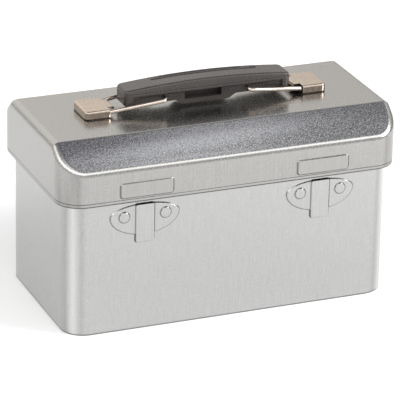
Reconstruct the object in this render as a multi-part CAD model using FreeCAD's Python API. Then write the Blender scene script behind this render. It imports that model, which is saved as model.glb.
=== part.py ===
import FreeCAD, Part
import math
import os

from FreeCAD import Vector

# Tin sewing box with a hinged lid, a lifting handle and two trays.
# Millimetres, +X to the right, +Y to the back, +Z up, origin at the middle of the underside.

# ---------------------------------------------------------------- driving dimensions
sheet = 0.5                      # tinplate of the box and its lid
tray_sheet = 0.6                 # tinplate of the trays
plate = 1.0                      # brackets and link arms
run = 0.06                       # radial running clearance of every pivot

lid_half_x = 105.0
lid_half_y = 55.8
lid_corner_r = 15.5
lid_low_z = 80.7                 # lower edge of the skirt
lid_fold_z = 100.9               # where the skirt turns into the slope
lid_top_z = 115.3
lid_flat_half_y = 36.8           # half-width of the flat roof
lid_fold_r = 2.6                 # rounding of the folds
lid_hem_h = 4.0

body_half_x = 100.5
body_half_y = 52.4
body_corner_r = 14.0
body_rim_z = 102.5
body_hem_h = 5.0
base_flange_h = 3.0

latch_x = 54.5                   # the dummy latches stand this far from the middle
bar_w, bar_z0, bar_z1, bar_rise = 32.0, 84.2, 93.0, 1.0
shield_half_w, shield_low_h, shield_z = 21.0, 12.0, 71.4
shield_top_h, shield_rise = 6.6, 0.9
strap_w, strap_z0, strap_z1, strap_rise = 11.5, 54.7, 77.8, 1.7
stud_r, stud_rise, stud_z, stud_dx = 3.3, 1.9, 71.1, 12.6

hinge_y = 54.1
hinge_z = lid_low_z + 1.0
hinge_x = 60.0
hinge_half_w = 12.0
knuckle_r = 1.4
pin_r = 0.8
hinge_notch_play = 0.4

tray_half_x = 96.5
upper_y0, upper_y1 = -50.7, 18.0
upper_z0, upper_z1 = 68.0, 97.7
upper_front_r, upper_rear_r = 12.0, 6.0
lower_half_x = 98.9
lower_y0, lower_y1 = -1.1, 50.9
lower_z0, lower_z1 = 33.9, 58.0
lower_corner_r = 12.9
tray_hem_h = 3.5

slab_x0 = 97.4                   # brackets and link arms lie between this and slab_x1
slab_x1 = slab_x0 + plate
lid_pivot_y, lid_pivot_z = 8.0, 88.0        # tray to lid bracket
link_pivot_y, link_pivot_z = 20.0, 70.0     # link arm to body
rivet_r = 1.5
rivet_head_r = 2.8
end_gap = 0.1                    # side play beside each moving plate

rail_half_y = 37.0
rail_z = 33.8                    # top of the flange that the lower tray runs on
rail_w = 6.0
rail_h = 7.0
rail_t = 0.8

cap_x0, cap_x1 = 60.5, 75.5
cap_half_y = 11.3
cap_h = 5.3
cap_t = 0.6
cap_corner_r = 3.0
tongue_x = 56.4
tongue_half_y = 6.4
tab_w = 3.0
tab_places = (63.5, 71.0)        # middle of each clinched tab, along X
backing_t = 0.8

wire_r = 1.3
wire_bend_r = 2.6
pivot_x, pivot_z = 26.0, 122.8   # wire ends in the grip core
crossbar_x, crossbar_z = 66.0, 117.6
arm_y_cap, arm_y_grip = 8.5, 12.6
wire_end_y = 3.6

grip_mid_x = 1.65               # the grip sits a little to the right of the pivots' middle
grip_half_x = 51.85
grip_half_y = 8.2
grip_end_z = 128.8
grip_mid_z = 131.6
grip_low_z = 119.6
grip_split_z = 125.2
grip_end_block = 5.0
core_half_y = 6.4
belly_z = 116.9
belly_x0, belly_x1 = -14.0, 15.2    # the belly's flat underside
belly_run = 4.2                     # length of the slant at each end of it
window_x0, window_x1, window_z0, window_z1 = -12.6, 10.6, 119.6, 124.6
window_depth = 5.6
screw_reach = 38.5               # from the grip's middle to each screw


# ---------------------------------------------------------------- small tools
def block(x0, x1, y0, y1, z0, z1):
    """A box from its two corners."""
    return Part.makeBox(x1 - x0, y1 - y0, z1 - z0, Vector(x0, y0, z0))


def rod(start, end, radius):
    """A round bar between two points."""
    along = end - start
    return Part.makeCylinder(radius, along.Length, start, along)


def upright_edges(shape, side=0):
    """Edges that run along Z; side -1 keeps the front ones, +1 the rear ones, 0 all."""
    middle_y = shape.BoundBox.Center.y
    found = []
    for edge in shape.Edges:
        ends = [vertex.Point for vertex in edge.Vertexes]
        upright = len(ends) == 2 and abs(ends[0].x - ends[1].x) + abs(ends[0].y - ends[1].y) < 1e-6
        if upright and (side == 0 or (ends[0].y - middle_y) * side > 0):
            found.append(edge)
    return found


def rounded_block(x0, x1, y0, y1, z0, z1, front_r, rear_r=None):
    """A box with rounded upright corners."""
    solid = block(x0, x1, y0, y1, z0, z1)
    solid = solid.makeFillet(front_r, upright_edges(solid, -1))
    rear = [edge for edge in upright_edges(solid, 1) if abs(edge.Vertexes[0].Y - y1) < 1e-6]
    return solid.makeFillet(rear_r or front_r, rear)


def centred_block(half_x, half_y, z0, z1, radius):
    """A rounded box about the Z axis."""
    return rounded_block(-half_x, half_x, -half_y, half_y, z0, z1, radius)


def shell_of(outer, inner):
    """What is left of outer when inner is cut out."""
    return outer.cut(inner)


def profile_solid(points, direction):
    """A flat outline extruded along a direction."""
    return Part.Face(Part.makePolygon(points + [points[0]])).extrude(direction)


def mirrored(shape):
    """The same piece on the other side of the box, left for right."""
    return shape.mirror(Vector(0, 0, 0), Vector(1, 0, 0))


def group(shapes):
    """Separate solids that share one node."""
    return Part.makeCompound(shapes)


nodes = {}


def keep(name, shape):
    """Store a finished piece under its node's name."""
    nodes[name] = shape


# ---------------------------------------------------------------- lid
def roof_outline(inset, low_z):
    """Half outline of the roof in Y and Z, drawn in by inset at right angles to each face."""
    run_y = lid_half_y - lid_flat_half_y
    rise_z = lid_top_z - lid_fold_z
    slope = math.atan2(rise_z, run_y)
    fold_shift = inset * math.tan((math.pi / 2 - slope) / 2)
    flat_shift = inset * math.tan(slope / 2)
    half = lid_half_y - inset
    fold_z = lid_fold_z - fold_shift
    flat = lid_flat_half_y - flat_shift
    top_z = lid_top_z - inset
    return [(-half, low_z), (half, low_z), (half, fold_z), (flat, top_z), (-flat, top_z), (-half, fold_z)]


def lid_form(inset, low_z):
    """The lid's outer form, or its inner form when inset is the sheet's thickness."""
    half_x = lid_half_x - inset
    plan = centred_block(half_x, lid_half_y - inset, low_z, lid_top_z, lid_corner_r - inset)
    outline = [Vector(-half_x, y, z) for y, z in roof_outline(inset, low_z)]
    form = plan.common(profile_solid(outline, Vector(2 * half_x, 0, 0)))
    folds = [edge for edge in form.Edges if edge.BoundBox.ZMin > lid_fold_z - 2.0]
    return form.makeFillet(lid_fold_r - inset, folds)


def front_pad(x0, x1, z0, z1, radius, face_y, rise):
    """A rounded flat pad that stands proud of a front face."""
    pad = block(x0, x1, face_y - rise, face_y + sheet / 2, z0, z1)
    along_y = [edge for edge in pad.Edges if edge.BoundBox.YLength > rise]
    return pad.makeFillet(radius, along_y)


def cap_tab_places():
    """Corners in X and Y of the tabs of the right-hand cap."""
    places = []
    for x in tab_places:
        for side in (-1, 1):
            y_out = side * cap_half_y
            y_in = side * (cap_half_y - cap_t)
            places.append((x - tab_w / 2, x + tab_w / 2, min(y_out, y_in), max(y_out, y_in)))
    return places


def tab_slots(z0, z1):
    """The cap tabs as upright bars on both sides, for cutting their slots."""
    bars = []
    for x0, x1, y0, y1 in cap_tab_places():
        bar = block(x0, x1, y0, y1, z0, z1)
        bars += [bar, mirrored(bar)]
    return bars


def lid_shell():
    """Skirt, slopes and roof in one pressing, with its hem, latch bars, hinge notches and tab slots."""
    outer = lid_form(0, lid_low_z)
    inner = lid_form(sheet, lid_low_z - 1)
    for side in (-1, 1):
        x0 = side * latch_x - bar_w / 2
        x1 = side * latch_x + bar_w / 2
        outer = outer.fuse(front_pad(x0, x1, bar_z0, bar_z1, 1.6, -lid_half_y, bar_rise))
        inner = inner.fuse(front_pad(x0 + sheet, x1 - sheet, bar_z0 + sheet, bar_z1 - sheet, 1.1,
                                     -lid_half_y + sheet, bar_rise))
    shell = shell_of(outer, inner)
    hem = shell_of(centred_block(lid_half_x - sheet, lid_half_y - sheet, lid_low_z, lid_low_z + lid_hem_h,
                                 lid_corner_r - sheet),
                   centred_block(lid_half_x - 2 * sheet, lid_half_y - 2 * sheet, lid_low_z,
                                 lid_low_z + lid_hem_h, lid_corner_r - 2 * sheet))
    shell = shell.fuse(hem).removeSplitter()
    notch_w = hinge_half_w + hinge_notch_play
    for side in (-1, 1):
        x = side * hinge_x
        shell = shell.cut(block(x - notch_w, x + notch_w, lid_half_y - 5, lid_half_y + 1, lid_low_z - 1,
                                hinge_z + knuckle_r + hinge_notch_play))
        shell = shell.cut(block(x - notch_w, x + notch_w, lid_half_y - 5, lid_half_y - sheet, lid_low_z - 1,
                                lid_low_z + lid_hem_h + 0.1))
    for bar in tab_slots(lid_top_z - 2, lid_top_z + 1):
        shell = shell.cut(bar)
    return shell


# ---------------------------------------------------------------- body
def shield_pad(inset, face_y, rise):
    """Half-moon pad with its middle at X = 0, shallow above its waist and deep below, narrower by inset."""
    halves = []
    for height, z0, z1 in ((shield_low_h, -shield_half_w, 0), (shield_top_h, 0, shield_half_w)):
        ring = Part.Ellipse(Vector(0, 0, 0), shield_half_w - inset, height - inset)
        moon = Part.Face(Part.Wire(ring.toShape())).extrude(Vector(0, 0, rise + sheet / 2))
        moon.rotate(Vector(0, 0, 0), Vector(1, 0, 0), 90)
        halves.append(moon.common(block(-50, 50, -50, 50, z0, z1)))
    pad = halves[0].fuse(halves[1]).removeSplitter()
    pad.translate(Vector(0, face_y + sheet / 2, shield_z))
    return pad


def latch_relief(inset, face_y):
    """Shield, strap and two stud heads of one dummy latch, as one raised form about X = 0."""
    relief = shield_pad(inset, face_y, shield_rise)
    relief = relief.fuse(front_pad(-strap_w / 2 + inset, strap_w / 2 - inset, strap_z0 + inset,
                                   strap_z1 - inset, 1.2, face_y, strap_rise))
    for side in (-1, 1):
        head = Part.makeCylinder(stud_r - inset, stud_rise + sheet / 2,
                                 Vector(side * stud_dx, face_y + sheet / 2, stud_z), Vector(0, -1, 0))
        relief = relief.fuse(head)
    return relief


def body_shell():
    """Wall of the box, open at the bottom and the top, hemmed inwards at the rim."""
    outer = centred_block(body_half_x, body_half_y, 0, body_rim_z, body_corner_r)
    inner = centred_block(body_half_x - sheet, body_half_y - sheet, -1, body_rim_z + 1, body_corner_r - sheet)
    for side in (-1, 1):
        place = Vector(side * latch_x, 0, 0)
        outer = outer.fuse(latch_relief(0, -body_half_y).translated(place))
        inner = inner.fuse(latch_relief(sheet, -body_half_y + sheet).translated(place))
    hem = shell_of(centred_block(body_half_x - sheet, body_half_y - sheet, body_rim_z - body_hem_h, body_rim_z,
                                 body_corner_r - sheet),
                   centred_block(body_half_x - 2 * sheet, body_half_y - 2 * sheet, body_rim_z - body_hem_h,
                                 body_rim_z, body_corner_r - 2 * sheet))
    return shell_of(outer, inner).fuse(hem).removeSplitter()


def base_panel():
    """Floor with an upturned flange that sits inside the wall."""
    half_x = body_half_x - sheet
    half_y = body_half_y - sheet
    radius = body_corner_r - sheet
    return shell_of(centred_block(half_x, half_y, 0, base_flange_h, radius),
                    centred_block(half_x - sheet, half_y - sheet, sheet, base_flange_h + 1, radius - sheet))


# ---------------------------------------------------------------- hinges
def knuckle(x0, x1):
    """A rolled knuckle about the hinge axis."""
    tube = rod(Vector(x0, hinge_y, hinge_z), Vector(x1, hinge_y, hinge_z), knuckle_r)
    return tube.cut(rod(Vector(x0 - 1, hinge_y, hinge_z), Vector(x1 + 1, hinge_y, hinge_z), pin_r + run))


def knuckle_bore(x):
    """The hinge axis as a bar, to keep a leaf clear of its pin."""
    return rod(Vector(x - 20, hinge_y, hinge_z), Vector(x + 20, hinge_y, hinge_z), pin_r + run)


def lid_leaf(x):
    """Two outer knuckles and the leaf that is welded inside the lid's rear skirt."""
    third = 2 * hinge_half_w / 3
    inside_y = lid_half_y - sheet
    leaf = block(x - hinge_half_w, x + hinge_half_w, inside_y - sheet, inside_y, hinge_z + knuckle_r + 0.4,
                 hinge_z + 11)
    for side in (-1, 1):
        x0 = x + side * (third / 2 + 0.1)
        x1 = x + side * hinge_half_w
        x0, x1 = min(x0, x1), max(x0, x1)
        neck = block(x0, x1, inside_y - sheet, inside_y, hinge_z, hinge_z + knuckle_r + 0.4)
        leaf = leaf.fuse(neck.cut(knuckle_bore(x))).fuse(knuckle(x0, x1))
    return leaf.removeSplitter()


def body_leaf(x):
    """The middle knuckle and the leaf that is welded to the rear wall."""
    third = 2 * hinge_half_w / 3
    x0 = x - third / 2 + 0.1
    x1 = x + third / 2 - 0.1
    neck = block(x0, x1, body_half_y, body_half_y + sheet, hinge_z - 4, hinge_z)
    leaf = block(x - hinge_half_w, x + hinge_half_w, body_half_y, body_half_y + sheet, hinge_z - 12,
                 hinge_z - knuckle_r - 0.4)
    return leaf.fuse(neck.cut(knuckle_bore(x))).fuse(knuckle(x0, x1)).removeSplitter()


def hinge_pin(x):
    """Wire pin through one hinge."""
    return rod(Vector(x - hinge_half_w, hinge_y, hinge_z), Vector(x + hinge_half_w, hinge_y, hinge_z), pin_r)


# ---------------------------------------------------------------- trays
def tray(half_x, y0, y1, z0, z1, front_r, rear_r):
    """A pressed tray with a hem turned inwards round its top edge."""
    outer = rounded_block(-half_x, half_x, y0, y1, z0, z1, front_r, rear_r)
    t = tray_sheet
    inner = rounded_block(-half_x + t, half_x - t, y0 + t, y1 - t, z0 + t, z1 + 1, front_r - t, rear_r - t)
    hem = shell_of(rounded_block(-half_x + t, half_x - t, y0 + t, y1 - t, z1 - tray_hem_h, z1,
                                 front_r - t, rear_r - t),
                   rounded_block(-half_x + 2 * t, half_x - 2 * t, y0 + 2 * t, y1 - 2 * t, z1 - tray_hem_h, z1,
                                 front_r - 2 * t, rear_r - 2 * t))
    return shell_of(outer, inner).fuse(hem).removeSplitter()


divider_t = 0.8
divider_gap = 0.1
upper_split_y = -16.0            # front face of the long divider
upper_div_top = upper_z1 - tray_hem_h - 1.0
front_cross_x = (-32.0, 32.0)
rear_cross_x = (-48.0, 0.0, 48.0)
lower_cross_x = (-49.0, 0.0, 49.0)
lower_div_top = lower_z1 - tray_hem_h - 1.0


def cross_dividers(places, y0, y1, z0, z1):
    """Upright plates across a tray."""
    return group([block(x - divider_t / 2, x + divider_t / 2, y0, y1, z0, z1) for x in places])


# ---------------------------------------------------------------- tray linkage, right-hand side
tray_pivots = {
    "lid": (lid_pivot_y, lid_pivot_z),
    "link": (lid_pivot_y + link_pivot_y - hinge_y, lid_pivot_z + link_pivot_z - hinge_z),
}


def bore_at(place):
    """A rivet hole through the plates, with running clearance."""
    y, z = place
    return rod(Vector(slab_x0 - 1, y, z), Vector(slab_x1 + 1, y, z), rivet_r + run)


def lid_bracket():
    """Angle welded under the roof, with a leg down to the upper tray's pivot."""
    y, z = tray_pivots["lid"]
    half_w = 7.0
    roof_z = lid_top_z - sheet
    leg = block(slab_x0, slab_x1, y - half_w, y + half_w, z, roof_z)
    eye = rod(Vector(slab_x0, y, z), Vector(slab_x1, y, z), half_w)
    foot = block(slab_x0 - 12, slab_x1, y - half_w, y + half_w, roof_z - backing_t, roof_z)
    return leg.fuse(eye).fuse(foot).cut(bore_at((y, z))).removeSplitter()


def link_arm():
    """Flat arm from the body's pivot plate to the upper tray."""
    half_w = 3.5
    rear = Vector(slab_x0, link_pivot_y, link_pivot_z)
    front = Vector(slab_x0, *tray_pivots["link"])
    along = (front - rear).normalize()
    across = Vector(0, -along.z, along.y) * half_w
    bar = profile_solid([rear + across, front + across, front - across, rear - across], Vector(plate, 0, 0))
    for end in (rear, front):
        bar = bar.fuse(rod(end, end + Vector(plate, 0, 0), half_w + 0.5))
    return bar.cut(bore_at((rear.y, rear.z))).cut(bore_at((front.y, front.z))).removeSplitter()


def pivot_plate():
    """Thick pad welded inside the end wall, which carries the link arm's rivet."""
    wall_x = body_half_x - sheet
    return rounded_pad(slab_x1 + 0.3, wall_x, link_pivot_y, link_pivot_z, 8.0, 8.0)


def rounded_pad(x0, x1, y, z, half_y, half_z):
    """A pad with rounded corners, flat against an end wall."""
    pad = block(x0, x1, y - half_y, y + half_y, z - half_z, z + half_z)
    along_x = [edge for edge in pad.Edges if edge.BoundBox.XLength > (x1 - x0) / 2]
    return pad.makeFillet(2.5, along_x)


def tray_rivet(place):
    """Shoulder rivet: clinched in the tray's end wall, with a plate running on its outer end."""
    y, z = place
    wall_x = tray_half_x - tray_sheet
    steps = [
        (wall_x - 0.8, wall_x, rivet_head_r),
        (wall_x, slab_x1 + end_gap, rivet_r),
        (tray_half_x, slab_x0 - end_gap, rivet_head_r - 0.3),
        (slab_x1 + end_gap, slab_x1 + end_gap + 0.6, rivet_head_r),
    ]
    return stepped_rod(steps, y, z)


def body_rivet():
    """Shoulder rivet that stands on the pivot plate and carries the link arm."""
    steps = [
        (slab_x0 - end_gap - 0.6, slab_x0 - end_gap, rivet_head_r),
        (slab_x0 - end_gap, slab_x1 + end_gap, rivet_r),
        (slab_x1 + end_gap, slab_x1 + 0.3, rivet_head_r - 0.3),
    ]
    return stepped_rod(steps, link_pivot_y, link_pivot_z)


def stepped_rod(steps, y, z):
    """A turned piece along X from its steps: start, end and radius."""
    parts = [rod(Vector(x0, y, z), Vector(x1, y, z), radius) for x0, x1, radius in steps]
    solid = parts[0]
    for part in parts[1:]:
        solid = solid.fuse(part)
    return solid.removeSplitter()


def wall_hole(place):
    """Hole of a tray rivet through the tray's end wall."""
    y, z = place
    return rod(Vector(tray_half_x - 3, y, z), Vector(tray_half_x + 1, y, z), rivet_r)


def upper_tray():
    """The tray that hangs between the lid brackets and the link arms."""
    shape = tray(tray_half_x, upper_y0, upper_y1, upper_z0, upper_z1, upper_front_r, upper_rear_r)
    for place in tray_pivots.values():
        shape = shape.cut(wall_hole(place)).cut(mirrored(wall_hole(place)))
    return shape


def rail():
    """Angle rail welded inside the right end wall; the lower tray runs on its flange."""
    wall_x = body_half_x - sheet
    leg = block(wall_x - rail_t, wall_x, -rail_half_y, rail_half_y, rail_z - rail_h, rail_z)
    flange = block(wall_x - rail_w, wall_x, -rail_half_y, rail_half_y, rail_z - rail_t, rail_z)
    return leg.fuse(flange).removeSplitter()


# ---------------------------------------------------------------- handle
def cap():
    """Pressed cap at the right, open towards the middle, with clinched tabs and a tongue."""
    z0, z1 = lid_top_z, lid_top_z + cap_h
    outer = block(cap_x0, cap_x1, -cap_half_y, cap_half_y, z0, z1)
    outer = outer.makeFillet(cap_corner_r, [e for e in upright_edges(outer) if e.Vertexes[0].X > cap_x0 + 1])
    rounded = [e for e in outer.Edges if e.BoundBox.ZMin > z1 - 0.01 and e.BoundBox.XMax > cap_x0 + 0.1]
    outer = outer.makeFillet(1.2, rounded)
    inner = block(cap_x0 - 1, cap_x1 - cap_t, -cap_half_y + cap_t, cap_half_y - cap_t, z0 - 1, z1 - cap_t)
    inner = inner.makeFillet(cap_corner_r - cap_t, [e for e in upright_edges(inner) if e.Vertexes[0].X > cap_x0])
    tongue = block(tongue_x, cap_x0, -tongue_half_y, tongue_half_y, z1 - cap_t, z1)
    lip = block(tongue_x, tongue_x + cap_t, -tongue_half_y, tongue_half_y, z1 - 2.2, z1)
    shape = outer.cut(inner).fuse(tongue).fuse(lip)
    under_z = lid_top_z - sheet - backing_t
    for x0, x1, y0, y1 in cap_tab_places():
        foot_y = (y0 - 2.4, y1) if y0 > 0 else (y0, y1 + 2.4)
        shape = shape.fuse(block(x0, x1, y0, y1, under_z - cap_t, z0 + 0.5))
        shape = shape.fuse(block(x0, x1, foot_y[0], foot_y[1], under_z - cap_t, under_z))
    return shape.removeSplitter()


def backing_plate():
    """Plate under the roof that the right cap's tabs clinch on."""
    roof_z = lid_top_z - sheet
    shape = block(cap_x0 - 1, cap_x1 - 0.5, -cap_half_y - 2, cap_half_y + 2, roof_z - backing_t, roof_z)
    for bar in tab_slots(roof_z - 3, roof_z + 1):
        shape = shape.cut(bar)
    return shape


def rounded_path(points, radius):
    """Straight runs joined by tangent arcs of one radius."""
    edges = []
    start = points[0]
    for before, corner, after in zip(points, points[1:], points[2:]):
        come = (corner - before).normalize()
        leave = (after - corner).normalize()
        turn = come.getAngle(leave)
        back = radius * math.tan(turn / 2)
        first = corner - come * back
        last = corner + leave * back
        bisector = (leave - come).normalize()
        middle = corner + bisector * (radius / math.cos(turn / 2) - radius)
        edges.append(Part.LineSegment(start, first).toShape())
        edges.append(Part.Arc(first, middle, last).toShape())
        start = last
    edges.append(Part.LineSegment(start, points[-1]).toShape())
    return Part.Wire(edges)


def wire_loop():
    """Right-hand loop: a cross-bar under the cap, two arms, and ends turned into the grip core."""
    ends = [(pivot_x, wire_end_y, pivot_z), (pivot_x, arm_y_grip, pivot_z), (crossbar_x, arm_y_cap, crossbar_z)]
    half = [Vector(*place) for place in ends]
    other = [Vector(place.x, -place.y, place.z) for place in reversed(half)]
    path = rounded_path(half + other, wire_bend_r)
    section = Part.Wire(Part.Circle(half[0], Vector(0, 1, 0), wire_r).toShape())
    return path.makePipeShell([section], True, False)


def grip_side_outline(low_z, half_x):
    """Side view of the grip in X and Z, flat below and arched above."""
    top = Part.Arc(Vector(-half_x, 0, grip_end_z), Vector(0, 0, grip_mid_z), Vector(half_x, 0, grip_end_z))
    corners = [Vector(half_x, 0, grip_end_z), Vector(half_x, 0, low_z), Vector(-half_x, 0, low_z),
               Vector(-half_x, 0, grip_end_z)]
    return Part.Wire([top.toShape()] + Part.makePolygon(corners).Edges)


def grip_cover():
    """Arched upper moulding that overhangs the core, with a closed block at each end."""
    form = Part.Face(grip_side_outline(grip_low_z, grip_half_x)).extrude(Vector(0, 2 * grip_half_y, 0))
    form.translate(Vector(grip_mid_x, -grip_half_y, 0))
    form = form.makeFillet(3.0, upright_edges(form))
    crown = [edge for edge in form.Edges if edge.BoundBox.ZMin > grip_end_z - 0.01]
    form = form.makeFillet(1.8, crown)
    room_x = grip_half_x - grip_end_block
    form = form.cut(block(grip_mid_x - room_x, grip_mid_x + room_x, -20, 20, 0, grip_split_z))
    for side in (-1, 1):
        x = grip_mid_x + side * screw_reach
        form = form.cut(rod(Vector(x, 0, grip_split_z - 1), Vector(x, 0, grip_split_z + 2.6), 1.0))
    return form


def grip_core():
    """Narrow lower insert with its belly, pivot holes, side window and screw holes."""
    room_x = grip_half_x - grip_end_block
    bar = block(grip_mid_x - room_x, grip_mid_x + room_x, -core_half_y, core_half_y, grip_low_z,
                grip_split_z)
    outline = [(belly_x0 - belly_run, grip_low_z), (belly_x0, belly_z), (belly_x1, belly_z),
               (belly_x1 + belly_run, grip_low_z), (belly_x1 + belly_run, grip_low_z + 2),
               (belly_x0 - belly_run, grip_low_z + 2), (belly_x0 - belly_run, grip_low_z)]
    belly = Part.Face(Part.makePolygon([Vector(x, -core_half_y, z) for x, z in outline]))
    core = bar.fuse(belly.extrude(Vector(0, 2 * core_half_y, 0))).removeSplitter()
    for side in (-1, 1):
        x = side * pivot_x
        core = core.cut(rod(Vector(x, -core_half_y - 1, pivot_z), Vector(x, core_half_y + 1, pivot_z),
                            wire_r + run))
        core = core.cut(block(window_x0, window_x1, min(side * core_half_y, side * (core_half_y - window_depth)),
                              max(side * core_half_y, side * (core_half_y - window_depth)),
                              window_z0, window_z1))
        x = grip_mid_x + side * screw_reach
        core = core.cut(rod(Vector(x, 0, grip_low_z - 1), Vector(x, 0, grip_split_z + 1), 1.0))
        core = core.cut(rod(Vector(x, 0, grip_low_z - 1), Vector(x, 0, grip_low_z + 1.6), 2.4))
    return core.removeSplitter()


def grip_screws():
    """Two countersunk screws from below, which hold the core in the cover."""
    screws = []
    for side in (-1, 1):
        x = grip_mid_x + side * screw_reach
        head = rod(Vector(x, 0, grip_low_z + 0.2), Vector(x, 0, grip_low_z + 1.6), 2.4)
        shank = rod(Vector(x, 0, grip_low_z + 1.6), Vector(x, 0, grip_split_z + 2.5), 1.0)
        slot = block(x - 3, x + 3, -0.35, 0.35, grip_low_z, grip_low_z + 0.8)
        screws.append(head.fuse(shank).cut(slot).removeSplitter())
    return group(screws)


# ---------------------------------------------------------------- the assembly
def build():
    """Make every node."""
    keep("body_shell", body_shell())
    keep("base_panel", base_panel())
    keep("lid_shell", lid_shell())
    for name, x in (("left", -hinge_x), ("right", hinge_x)):
        keep(name + "_hinge_lid_leaf", lid_leaf(x))
        keep(name + "_hinge_body_leaf", body_leaf(x))
        keep(name + "_hinge_pin", hinge_pin(x))

    keep("upper_tray", upper_tray())
    keep("lower_tray", tray(lower_half_x, lower_y0, lower_y1, lower_z0, lower_z1, lower_corner_r, lower_corner_r))
    t = tray_sheet + divider_gap
    keep("upper_long_divider", block(-tray_half_x + t, tray_half_x - t, upper_split_y, upper_split_y + divider_t,
                                     upper_z0 + tray_sheet, upper_div_top))
    keep("upper_front_dividers", cross_dividers(front_cross_x, upper_y0 + t, upper_split_y - divider_gap,
                                                upper_z0 + tray_sheet, upper_div_top))
    keep("upper_rear_dividers", cross_dividers(rear_cross_x, upper_split_y + divider_t + divider_gap,
                                               upper_y1 - t, upper_z0 + tray_sheet, upper_div_top))
    keep("lower_dividers", cross_dividers(lower_cross_x, lower_y0 + t, lower_y1 - t, lower_z0 + tray_sheet,
                                          lower_div_top))

    sided = {
        "lid_bracket": lid_bracket(),
        "link_arm": link_arm(),
        "pivot_plate": pivot_plate(),
        "rail": rail(),
        "cap": cap(),
        "cap_backing_plate": backing_plate(),
        "wire_loop": wire_loop(),
    }
    for name, shape in sided.items():
        keep("right_" + name, shape)
        keep("left_" + name, mirrored(shape))

    for name, rivet in (("tray_lid_rivets", tray_rivet(tray_pivots["lid"])),
                        ("tray_link_rivets", tray_rivet(tray_pivots["link"])),
                        ("body_link_rivets", body_rivet())):
        keep(name, group([rivet, mirrored(rivet)]))

    keep("grip_cover", grip_cover())
    keep("grip_core", grip_core())
    keep("grip_screws", grip_screws())


def write():
    """One STEP file per node."""
    os.makedirs("parts", exist_ok=True)
    for name, shape in nodes.items():
        solids = len(shape.Solids)
        print(f"{name:24s} solids {solids}  valid {shape.isValid()}  volume {shape.Volume:10.1f}")
        shape.exportStep(f"parts/{name}.step")


build()
write()
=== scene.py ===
"""Tin sewing box: the looks of every piece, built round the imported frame."""
import logging
import math
from collections.abc import Callable, Iterable
from dataclasses import dataclass, field
from enum import Enum

import bmesh
import bpy
from bmesh.types import BMEdge, BMesh, BMFace, BMVert
from mathutils import Matrix, Vector


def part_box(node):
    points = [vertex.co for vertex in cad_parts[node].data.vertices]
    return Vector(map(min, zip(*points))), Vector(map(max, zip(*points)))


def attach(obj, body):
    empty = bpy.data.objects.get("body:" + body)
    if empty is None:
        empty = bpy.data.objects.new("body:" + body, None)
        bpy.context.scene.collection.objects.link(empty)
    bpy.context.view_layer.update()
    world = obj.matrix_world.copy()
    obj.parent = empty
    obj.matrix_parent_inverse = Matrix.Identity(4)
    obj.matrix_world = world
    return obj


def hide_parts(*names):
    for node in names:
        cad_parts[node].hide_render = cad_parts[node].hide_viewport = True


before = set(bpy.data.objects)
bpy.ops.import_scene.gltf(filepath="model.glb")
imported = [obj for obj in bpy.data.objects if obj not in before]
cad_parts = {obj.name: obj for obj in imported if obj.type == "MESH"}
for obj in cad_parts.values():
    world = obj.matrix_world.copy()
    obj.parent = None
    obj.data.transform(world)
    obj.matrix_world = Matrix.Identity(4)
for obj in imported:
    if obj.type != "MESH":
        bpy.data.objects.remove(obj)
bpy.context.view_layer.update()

MM = 0.001
PAINTED_LIGHT = "painted_light"
PAINTED_SPARKLE = "painted_sparkle"
NEAR_MM = 1e-3                 # places this near count as one
HAIR_MM = 1e-4                 # slack where one edge or limit is told from the next
CUT_MM = 1e-5                  # a cut takes up vertices this near its plane
CRISP_DEG = 35.0               # an edge that turns by more stays crisp
FACING = 0.9                   # a normal with this much of an axis looks along it
NEARLY_FLAT = 0.99             # the same for a face that lies nearly across the axis
FLAT = 0.999                   # the same for a face that lies truly across the axis
LEANING = 0.01                 # an upright face's normal has less of Z than this
log = logging.getLogger("sewing_box")


class Side(Enum):
    """The two ends of the box, as the sign of X."""

    LEFT = -1
    RIGHT = 1

    @property
    def word(self) -> str:
        """Return the word that starts the names of this end's pieces."""
        return self.name.lower()


# ---------------------------------------------------------------- colour and nodes
def linear_colour(code: str) -> tuple[float, float, float, float]:
    """Turn an sRGB hex code into a linear colour with full alpha.

    Args:
        code: six hex digits with a leading hash.

    Returns:
        Red, green, blue and alpha for a shader socket.
    """
    parts = [int(code[i:i + 2], 16) / 255 for i in (1, 3, 5)]
    channels = [c / 12.92 if c <= 0.04045 else ((c + 0.055) / 1.055) ** 2.4 for c in parts]
    return (*channels, 1.0)


def grey(level: float) -> tuple[float, float, float, float]:
    """Return a neutral linear colour."""
    return (level, level, level, 1.0)


def per_metre(size_mm: float) -> float:
    """Return a noise scale whose features are about size_mm across."""
    return 1.0 / (size_mm * MM)


def add_node(tree: bpy.types.NodeTree, kind: str, settings: dict | None = None,
             links: dict | None = None) -> bpy.types.Node:
    """Add one shader node with its settings and its incoming links.

    Args:
        tree: the node tree that it goes into.
        kind: the node's type name.
        settings: socket values by input name, or attributes where no input has that name.
        links: output sockets by the input name or index that they feed.

    Returns:
        The new node.
    """
    made = tree.nodes.new(kind)
    for name, value in (settings or {}).items():
        if isinstance(name, int) or name in made.inputs:
            made.inputs[name].default_value = value
        else:
            setattr(made, name, value)
    for name, source in (links or {}).items():
        tree.links.new(source, made.inputs[name])
    return made


def ramp(tree: bpy.types.NodeTree, source: bpy.types.NodeSocket,
         stops: list[tuple[float, tuple]]) -> bpy.types.NodeSocket:
    """Add a colour ramp fed by source and return its colour output.

    Args:
        tree: the node tree.
        source: the factor that drives the ramp.
        stops: positions and colours, two or more.

    Returns:
        The ramp's colour socket.
    """
    made = add_node(tree, "ShaderNodeValToRGB", {}, {0: source})
    elements = made.color_ramp.elements
    while len(elements) < len(stops):
        elements.new(0.5)
    for element, (position, colour) in zip(elements, stops):
        element.position = position
        element.color = colour
    return made.outputs[0]


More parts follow.
